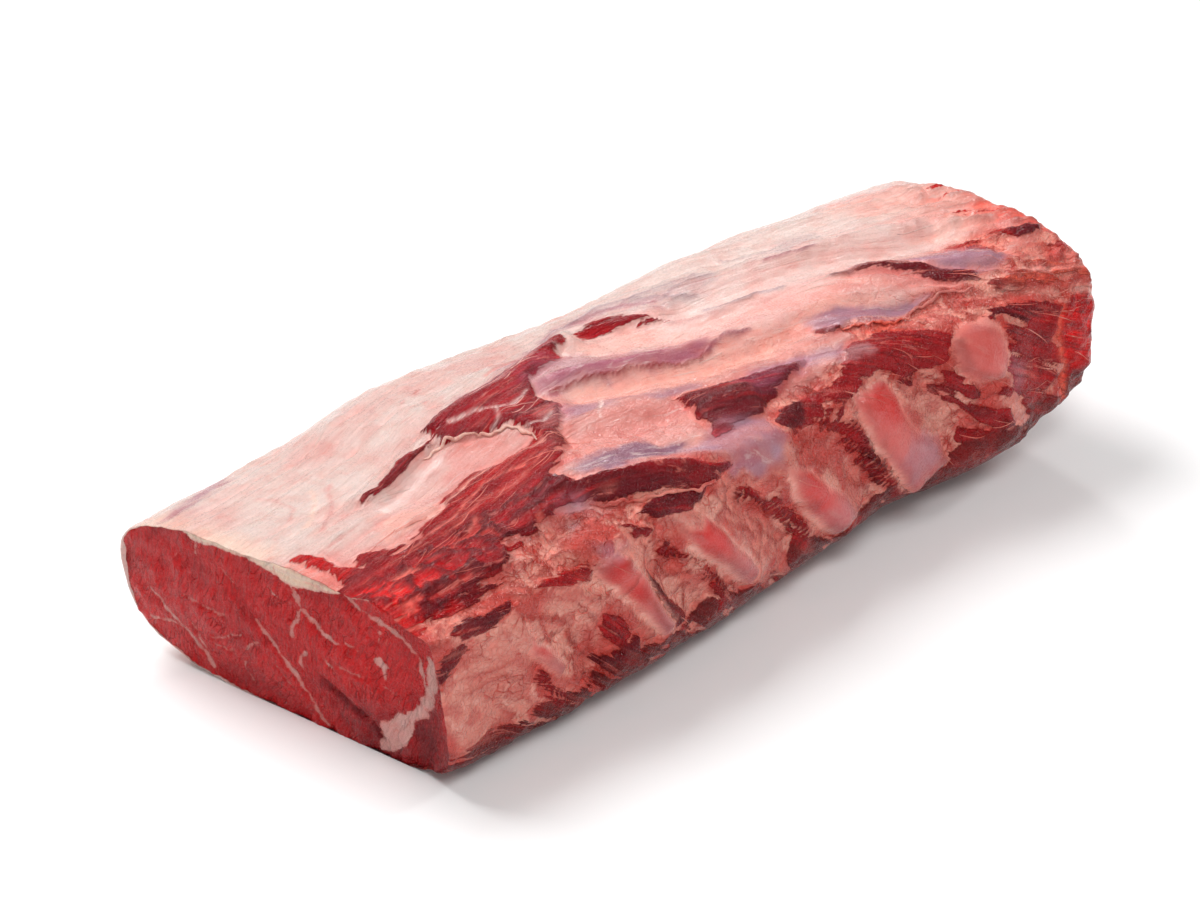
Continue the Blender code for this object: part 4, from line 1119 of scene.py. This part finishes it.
def make_cut(name, rim, around, far_end):
    """A cut face as a shallow closed plug: its front grid with seams and fibres, and a flat back."""
    outward_sign = 1 if far_end else -1
    rim = rim.copy()
    if not far_end:
        rim[:, 0] += face_swell(rim[:, 1], rim[:, 2])
    middle = rim.mean(axis=0)
    grid = face_grid(middle + (rim - middle) * FACE_SHARE, around)
    y, z = grid[..., 1], grid[..., 2]
    if far_end:
        left, right, low, high = NEAR_FACE
        y_map = (y - y.min()) / (y.max() - y.min()) * (right - left) + left
        z_map = (z - z.min()) / (z.max() - z.min()) * (high - low) + low
    else:
        y_map, z_map = y, z
    wander_y = 1.0 * ripple(y, z, 9, 91, False) + 0.6 * ripple(y, z, 3.5, 92, False)
    wander_z = 1.0 * ripple(y, z, 9, 93, False) + 0.6 * ripple(y, z, 3.5, 94, False)
    ym, zm = y_map + wander_y, z_map + wander_z
    seam = np.full(y.shape, FAR_OFF)
    groove = np.zeros(y.shape)
    for path, width in SEAMS:
        far = beside(pairs(path), ym, zm)[0]
        thick = width * (0.62 + 0.6 * ripple(y, z, 6, 95, False))
        seam = np.maximum(seam, thick - far)
        groove = np.maximum(groove, np.exp(-((far / (2.0 * width)) ** 2)))
    top_fat, blob, side_fat, strip, notch = [
        inside(pairs(outline), ym, zm) for outline in (BAND, BLOB, SIDE_FAT, STRIP, NOTCH)]
    crevice = beside(pairs(CREVICE), ym, zm)[0]
    fat_sheet = np.maximum.reduce([top_fat, blob, side_fat])
    seam = np.maximum(seam, fat_sheet)
    patches = 1.6 * ripples(y, z, 30, 96, 2)
    lean = np.empty(y.shape + (3,))
    lean[:] = linear(TISSUE["lean"]) * (1.56, 0.62, 0.64)
    paint(lean, "fresh", 0.45 * ease(patches, 0.1, 1.0))
    paint(lean, "maroon", 0.30 * ease(-patches, 0.1, 1.0))
    if not far_end:
        paint(lean, "maroon", 0.62 * ease(-18 - y, 0, 30) * ease(42 - z, 0, 24))
    paint(lean, "maroon", 0.50 * ease(strip, -1, 2))
    paint(lean, "fresh", 0.85 * ease(notch, -1.5, 2))
    paint(lean, "maroon", 0.8 * np.exp(-((crevice / 3.5) ** 2)))
    fat = np.empty(y.shape + (3,))
    fat[:] = linear(TISSUE["blush"])
    paint(fat, "thin", 0.55 * ease(-seam, -1.6, -0.2) * ease(fat_sheet, 0.5, -1.0))
    band = ease(top_fat, -1, 2)
    paint(fat, "cream", band)
    layers = ripple(y * 0.10, z + 0.4 * wander_z, 2.2, 99, False)
    paint(fat, "white", 0.5 * band * ease(layers, 0.1, 0.6))
    paint(fat, "peach", 0.5 * band * ease(-layers, 0.1, 0.6))
    # Painted light: the fat band is made brighter to make up for the shade that falls on the cut face
    fat = np.minimum(fat * (1 + band[..., None] * (0.20, 0.16, 0.08)), 0.95)
    paint(fat, "rib_fat", 0.8 * ease(side_fat, -1, 2))
    height = np.zeros(y.shape) if far_end else face_swell(y, z)
    height += 0.7 * patches - 0.7 * groove + 0.5 * ease(fat_sheet, -0.5, 2.0)
    height += 0.5 * band * layers
    height += -2.0 * np.exp(-((crevice / 2.5) ** 2)) - 0.8 * ease(strip, -1, 2)
    height += 0.8 * ripple(y, z, 8, 98, False)
    height += 0.45 * ripple(y * 1.2 + z * 0.3, z * 0.4, 3.0, 97, False)
    front = grid.copy()
    front[..., 0] += outward_sign * (0.4 + height)
    wide, tall = FACE_STEPS
    rows, columns = wide + 1, tall + 1
    index = np.arange(rows * columns).reshape(rows, columns)
    quads = np.stack([index[:-1, :-1], index[1:, :-1], index[1:, 1:], index[:-1, 1:]], -1).reshape(-1, 4)
    rim_index = np.concatenate([index[:-1, 0], index[-1, :-1], index[:0:-1, -1], index[0, :0:-1]])
    base = front.reshape(-1, 3)
    skirt = []
    for scale, push in SKIRT:
        ring = middle + (base[rim_index] - middle) * scale
        ring[:, 0] = base[rim_index, 0] - outward_sign * push
        skirt.append(ring)
    count = len(rim_index)
    points = np.concatenate([base] + skirt + [[middle - (outward_sign * SKIRT[-1][1], 0, 0)]])
    first = len(base) + np.arange(count)
    second = first + count
    nxt = np.roll(np.arange(count), -1)
    sides = [np.stack([rim_index, rim_index[nxt], first[nxt], first], -1),
             np.stack([first, first[nxt], second[nxt], second], -1)]
    fan = np.stack([np.full(count, len(points) - 1), second[nxt], second], -1)
    quads = np.concatenate([quads] + [s[:, ::-1] for s in sides])
    if not far_end:
        quads, fan = quads[:, ::-1], fan[:, ::-1]
    piece = add_mesh(name, placed(points), quads, fan)

    def padded(values):
        """The values of the face, repeated for the rings behind it and the middle of its back."""
        flat = values.reshape((-1,) + values.shape[2:])
        return np.concatenate([flat, flat[rim_index], flat[rim_index], flat[:1]])

    add_field(piece, "fat_colour", padded(fat))
    add_field(piece, "lean_colour", padded(lean))
    add_field(piece, "depth", padded(-seam))
    across = y + 0.35 * z + 7 * ripple(y, z, 45, 90, False)
    add_uv(piece, "grain", padded(np.stack([z, across], -1)))
    return piece


class Shader:
    """A Principled material that is put together one node at a time."""

    def __init__(self, name):
        self.material = bpy.data.materials.new(name)
        self.material.use_nodes = True
        self.tree = self.material.node_tree
        self.surface = self.tree.nodes["Principled BSDF"]

    def feed(self, node, inputs):
        """Sets or links inputs of a node, by name or number."""
        for key, value in inputs.items():
            if isinstance(value, bpy.types.NodeSocket):
                self.tree.links.new(value, node.inputs[key])
            else:
                node.inputs[key].default_value = value

    def node(self, kind, inputs, output=0, **settings):
        """Adds a node, sets its options and feeds its inputs."""
        made = self.tree.nodes.new("ShaderNode" + kind)
        for key, value in settings.items():
            setattr(made, key, value)
        self.feed(made, inputs)
        return made.outputs[output]

    def place(self):
        """Object coordinates."""
        return self.node("TexCoord", {}, output=3)

    def grain(self):
        """Coordinates along and across the fibres."""
        return self.node("UVMap", {}, uv_map="grain")

    def field(self, name, colour=False):
        """A number or a colour stored on the mesh."""
        return self.node("Attribute", {}, output=0 if colour else 2, attribute_name=name)

    def speckle(self, place, size, detail, rough, warp=0.0):
        """Noise with features of a size in mm."""
        return self.node("TexNoise", {"Vector": place, "Scale": 1 / (size * MM), "Detail": detail,
                                      "Roughness": rough, "Distortion": warp})

    def crackle(self, place, size, warp, seed_size):
        """Distance to the walls between cells of a size in mm, in cell sizes, on ground warped by noise."""
        drift = self.node("TexNoise", {"Vector": place, "Scale": 1 / (seed_size * MM), "Detail": 1.5},
                          output=1)
        bent = self.node("VectorMath", {0: drift, 1: (warp * MM,) * 3, 2: place}, operation="MULTIPLY_ADD")
        return self.node("TexVoronoi", {"Vector": bent, "Scale": 1 / (size * MM)},
                         feature="DISTANCE_TO_EDGE")

    def stretched(self, place, along):
        """Coordinates drawn out along their first axis."""
        return self.node("Mapping", {"Vector": place, "Scale": (1 / along, 1, 1)})

    def math(self, kind, a, b, c=0.0):
        """One sum of up to three numbers."""
        return self.node("Math", {0: a, 1: b, 2: c}, operation=kind)

    def times(self, a, b):
        """Two numbers multiplied."""
        return self.math("MULTIPLY", a, b)

    def plus(self, value, more, share):
        """A value and a share of another."""
        return self.math("MULTIPLY_ADD", more, share, value)

    def shaken(self, value, noise, reach):
        """A value moved up and down by noise."""
        return self.plus(value, self.math("SUBTRACT", noise, 0.5), reach)

    def ramp(self, value, low, high, to_low=0.0, to_high=1.0):
        """Turns low to high into to_low to to_high along a smooth step."""
        return self.node("MapRange", {"Value": value, "From Min": low, "From Max": high, "To Min": to_low,
                                      "To Max": to_high}, interpolation_type="SMOOTHSTEP")

    def blend(self, share, a, b, mode="MIX"):
        """Mixes two colours."""
        return self.node("Mix", {0: share, 6: a, 7: b}, output=2, data_type="RGBA", blend_type=mode)

    def toned(self, colour, share, tissue):
        """A colour mixed with a tissue's colour by a share."""
        return self.blend(share, colour, (*linear(TISSUE[tissue]), 1))

    def stained(self, colour, share, stain):
        """A colour multiplied by a stain, by a share."""
        return self.blend(share, colour, (*stain, 1), "MULTIPLY")

    def finish(self, colour, roughness, height, bump_mm, strength, film):
        """Feeds the surface and its wet film, with a bump."""
        bump = self.node("Bump", {"Height": height, "Distance": bump_mm * MM, "Strength": strength})
        self.feed(self.surface, {"Base Color": colour, "Roughness": roughness, "Normal": bump,
                                 "Coat Weight": film, "Coat Normal": bump})
        return self.material


def wet(shader, scatter, radius_mm):
    """The same all over: light that goes in and out, and the wet film's gloss."""
    shader.feed(shader.surface, {
        "Subsurface Weight": scatter, "Subsurface Scale": 1.0,
        "Subsurface Radius": [r * MM for r in radius_mm], "IOR": 1.40, "Specular IOR Level": 0.18,
        "Coat Roughness": 0.09, "Coat IOR": 1.38})


def sleeve_material():
    """Fat with mottling, strands and red cracks; muscle with fibres and flecks; a torn edge between."""
    s = Shader("meat_and_fat")
    place, grain = s.place(), s.grain()
    cloud = s.speckle(place, 11.0, 3.0, 0.6)
    mottle = s.speckle(place, 4.0, 4.0, 0.65)
    grit = s.speckle(place, 1.0, 3.0, 0.6)
    fibre = s.speckle(s.stretched(grain, 16.0), 0.9, 3.0, 0.65, 0.2)
    bundle = s.speckle(s.stretched(grain, 18.0), 3.0, 4.0, 0.65, 0.5)
    strand = s.speckle(s.stretched(grain, 10.0), 1.8, 4.0, 0.7, 1.0)
    lobed = s.field("lobed")

    torn = s.shaken(s.shaken(s.field("depth"), bundle, 9.0), mottle, 3.0)
    muscle = s.ramp(torn, -0.40, 0.45)

    plain = s.math("SUBTRACT", 1.0, s.times(s.field("bed"), 0.8))
    sheet = s.math("SUBTRACT", plain, s.times(lobed, 0.7))
    fat = s.field("fat_colour", True)
    fat = s.stained(fat, s.ramp(mottle, 0.42, 0.70, 0.0, 0.30), (1.05, 0.86, 0.82))
    fat = s.stained(fat, s.ramp(cloud, 0.55, 0.35, 0.0, 0.60), (0.95, 0.76, 0.74))
    fat = s.toned(fat, s.times(sheet, s.ramp(strand, 0.57, 0.68, 0.0, 0.45)), "white")
    fat = s.stained(fat, s.times(sheet, s.ramp(bundle, 0.40, 0.28, 0.0, 0.55)), (0.90, 0.55, 0.52))
    vein = s.times(s.ramp(s.shaken(s.field("crack"), grit, 1.6), 1.1, 0.1), lobed)
    vein = s.times(vein, s.ramp(cloud, 0.38, 0.60, 0.2, 1.0))
    fat = s.toned(fat, s.times(vein, 0.65), "vein")
    split = s.times(s.ramp(s.crackle(place, 6.5, 9.0, 7.0), 0.070, 0.005), s.ramp(cloud, 0.46, 0.62))
    split = s.times(split, lobed)
    grain_wall = s.crackle(place, 2.3, 2.5, 2.5)
    granule = s.times(s.ramp(grain_wall, 0.0, 0.22), lobed)
    fat = s.stained(fat, s.times(s.ramp(grain_wall, 0.20, 0.02, 0.0, 0.45), lobed), (1.00, 0.64, 0.60))
    fat = s.stained(fat, s.times(split, 0.70), (1.00, 0.34, 0.32))

    lean = s.field("lean_colour", True)
    lean = s.stained(lean, s.ramp(fibre, 0.58, 0.34, 0.0, 0.75), (0.50, 0.32, 0.36))
    lean = s.toned(lean, s.ramp(bundle, 0.52, 0.72, 0.0, 0.45), "bed_red")
    lean = s.toned(lean, s.ramp(strand, 0.58, 0.68, 0.0, 0.60), "strand")
    lean = s.toned(lean, s.ramp(bundle, 0.44, 0.30, 0.0, 0.60), "maroon")

    rows = s.math("MAXIMUM", sheet, muscle)
    height = s.plus(s.times(mottle, 0.55), muscle, fibre)
    height = s.plus(height, grit, 0.18)
    height = s.plus(height, vein, -0.5)
    height = s.plus(height, split, -0.6)
    height = s.plus(height, granule, 0.30)
    height = s.plus(height, s.times(strand, rows), 0.5)
    height = s.plus(height, s.times(bundle, rows), 1.2)
    wet(s, 0.12, (1.8, 0.6, 0.4))
    film = s.ramp(muscle, 0.0, 1.0, 0.60, 0.28)
    return s.finish(s.blend(muscle, fat, lean), s.ramp(grit, 0.3, 0.7, 0.20, 0.36), height, 1.1, 0.9, film)


def cut_material():
    """Freshly cut muscle: short fibres, fine marbling, and crisp seams of fat."""
    s = Shader("cut_meat")
    place, grain = s.place(), s.grain()
    grit = s.speckle(place, 1.0, 3.0, 0.6)
    cloud = s.speckle(place, 9.0, 3.0, 0.55)
    fibre = s.speckle(s.stretched(grain, 4.0), 1.4, 4.0, 0.70, 0.6)
    grove = s.speckle(s.stretched(grain, 2.6), 3.2, 3.0, 0.6, 0.8)
    fleck = s.speckle(s.stretched(grain, 3.5), 1.5, 4.0, 0.7, 1.2)
    muscle = s.ramp(s.shaken(s.field("depth"), s.speckle(place, 1.6, 3.0, 0.7), -2.6), -0.40, 0.40)
    fat = s.field("fat_colour", True)
    fat = s.toned(fat, s.ramp(cloud, 0.35, 0.7, 0.0, 0.25), "white")
    fat = s.toned(fat, s.ramp(grove, 0.45, 0.30, 0.0, 0.50), "strand")
    lean = s.field("lean_colour", True)
    lean = s.stained(lean, s.ramp(fibre, 0.56, 0.36, 0.0, 0.60), (0.52, 0.34, 0.38))
    lean = s.toned(lean, s.ramp(fibre, 0.55, 0.72, 0.0, 0.45), "bed_red")
    cleft = s.ramp(s.crackle(s.stretched(grain, 3.2), 3.6, 4.5, 3.0), 0.065, 0.01)
    cleft = s.times(cleft, s.ramp(cloud, 0.46, 0.62))
    lean = s.stained(lean, s.times(cleft, 0.50), (0.42, 0.20, 0.24))
    lean = s.toned(lean, s.ramp(cloud, 0.42, 0.70, 0.0, 0.30), "bed_red")
    lean = s.toned(lean, s.ramp(grove, 0.44, 0.30, 0.0, 0.35), "maroon")
    lean = s.toned(lean, s.ramp(fleck, 0.63, 0.70, 0.0, 0.55), "strand")
    height = s.plus(s.times(grit, 0.4), fibre, 1.0)
    height = s.plus(height, grove, 1.2)
    height = s.plus(height, cleft, -0.6)
    wet(s, 0.15, (2.0, 0.6, 0.4))
    return s.finish(s.blend(muscle, fat, lean), s.ramp(grit, 0.3, 0.7, 0.20, 0.34), height, 1.2, 0.9, 0.25)


def shred_material():
    """Loose fat, skin threads and curled rims: their own colour with soft mottling."""
    s = Shader("loose_fat")
    place = s.place()
    mottle = s.speckle(place, 2.2, 4.0, 0.65)
    grit = s.speckle(place, 0.9, 2.0, 0.6)
    fat = s.field("colour", True)
    fat = s.stained(fat, s.ramp(mottle, 0.52, 0.34, 0.0, 0.60), (0.88, 0.55, 0.50))
    fat = s.toned(fat, s.ramp(mottle, 0.58, 0.74, 0.0, 0.45), "cream")
    height = s.plus(s.times(grit, 0.3), mottle, 1.0)
    wet(s, 0.25, (2.2, 0.7, 0.5))
    return s.finish(fat, s.ramp(grit, 0.3, 0.7, 0.24, 0.38), height, 0.8, 0.8, 0.4)


# Camera of the photograph, fitted to the roll's outline, and the light
AZIMUTH, ELEVATION = math.radians(-45.40), math.radians(28.71)
LENS, SENSOR = 105.0, 36.0
TARGET = (-10.76 + FOOTPRINT_SHIFT[0], 13.51 + FOOTPRINT_SHIFT[1], 44.28 - FLAT_DEPTH)
DISTANCE = 1515.5
SOFT_BOXES = [  # name, place and width in metres, power in watts
    ("soft_box_back", (-0.28, 0.82, 1.55), 0.90, 25.5),
    ("soft_box_front", (-0.70, -1.02, 1.42), 0.6, 11.8),
    ("soft_box_far", (0.95, 1.05, 0.90), 0.24, 4.5),
    ("soft_box_right", (1.05, -0.45, 0.85), 0.22, 3.9),
]
SURROUNDINGS = 0.19
FLOOR_GLOW = 0.05
FLOOR_REACH = 4000


def set_camera():
    """The camera, set back from its target along the line of sight."""
    level = math.cos(ELEVATION)
    back = Vector((math.sin(AZIMUTH) * level, -math.cos(AZIMUTH) * level, math.sin(ELEVATION)))
    camera = bpy.data.objects.new("camera", bpy.data.cameras.new("camera"))
    camera.data.lens, camera.data.sensor_width = LENS, SENSOR
    camera.data.clip_start, camera.data.clip_end = 0.05, 20
    camera.location = (Vector(TARGET) + back * DISTANCE) * MM
    camera.rotation_euler = back.to_track_quat("Z", "Y").to_euler()
    bpy.context.scene.collection.objects.link(camera)
    bpy.context.scene.camera = camera


def add_light(name, place, size, power):
    """A square soft box that looks at the roll."""
    light = bpy.data.lights.new(name, "AREA")
    light.shape, light.size, light.energy = "SQUARE", size, power
    lamp = bpy.data.objects.new(name, light)
    lamp.location = place
    lamp.rotation_euler = Vector(place).to_track_quat("Z", "Y").to_euler()
    bpy.context.scene.collection.objects.link(lamp)


def set_stage():
    """A white floor, white surroundings, a large soft box over the back left, a weaker one in front, and
    two small ones on the far side that draw wet glints."""
    corners = [(x * FLOOR_REACH, y * FLOOR_REACH, 0) for x, y in ((-1, -1), (1, -1), (1, 1), (-1, 1))]
    floor = add_mesh("floor", np.array(corners), [(0, 1, 2, 3)], smooth=False)
    white = Shader("floor_white")
    white.feed(white.surface, {"Base Color": (0.93, 0.93, 0.93, 1), "Emission Color": (1, 1, 1, 1),
                               "Emission Strength": FLOOR_GLOW, "Roughness": 0.9})
    floor.data.materials.append(white.material)
    world = bpy.data.worlds.new("studio")
    world.use_nodes = True
    surroundings = world.node_tree.nodes["Background"].inputs
    surroundings["Color"].default_value = (1, 1, 1, 1)
    surroundings["Strength"].default_value = SURROUNDINGS
    bpy.context.scene.world = world
    for name, place, size, power in SOFT_BOXES:
        add_light(name, place, size, power)
    bpy.context.scene.view_settings.view_transform = "Standard"


def main():
    """Makes the stage and the roll, and gives each piece its material and body."""
    set_camera()
    set_stage()
    sleeve, fields = make_sleeve()
    points, around = fields["points"], fields["around"]
    near = make_cut("rib_roll_near_cut", points[0], around, False)
    far = make_cut("rib_roll_far_cut", points[-1], around, True)
    shreds = [make_rims(fields), make_threads(fields)]
    sleeve.data.materials.append(sleeve_material())
    cut, loose = cut_material(), shred_material()
    for piece in (near, far):
        piece.data.materials.append(cut)
    for piece in shreds:
        piece.data.materials.append(loose)
    for piece in [sleeve, near, far] + shreds:
        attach(piece, "root")
    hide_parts("rib_roll")


main()
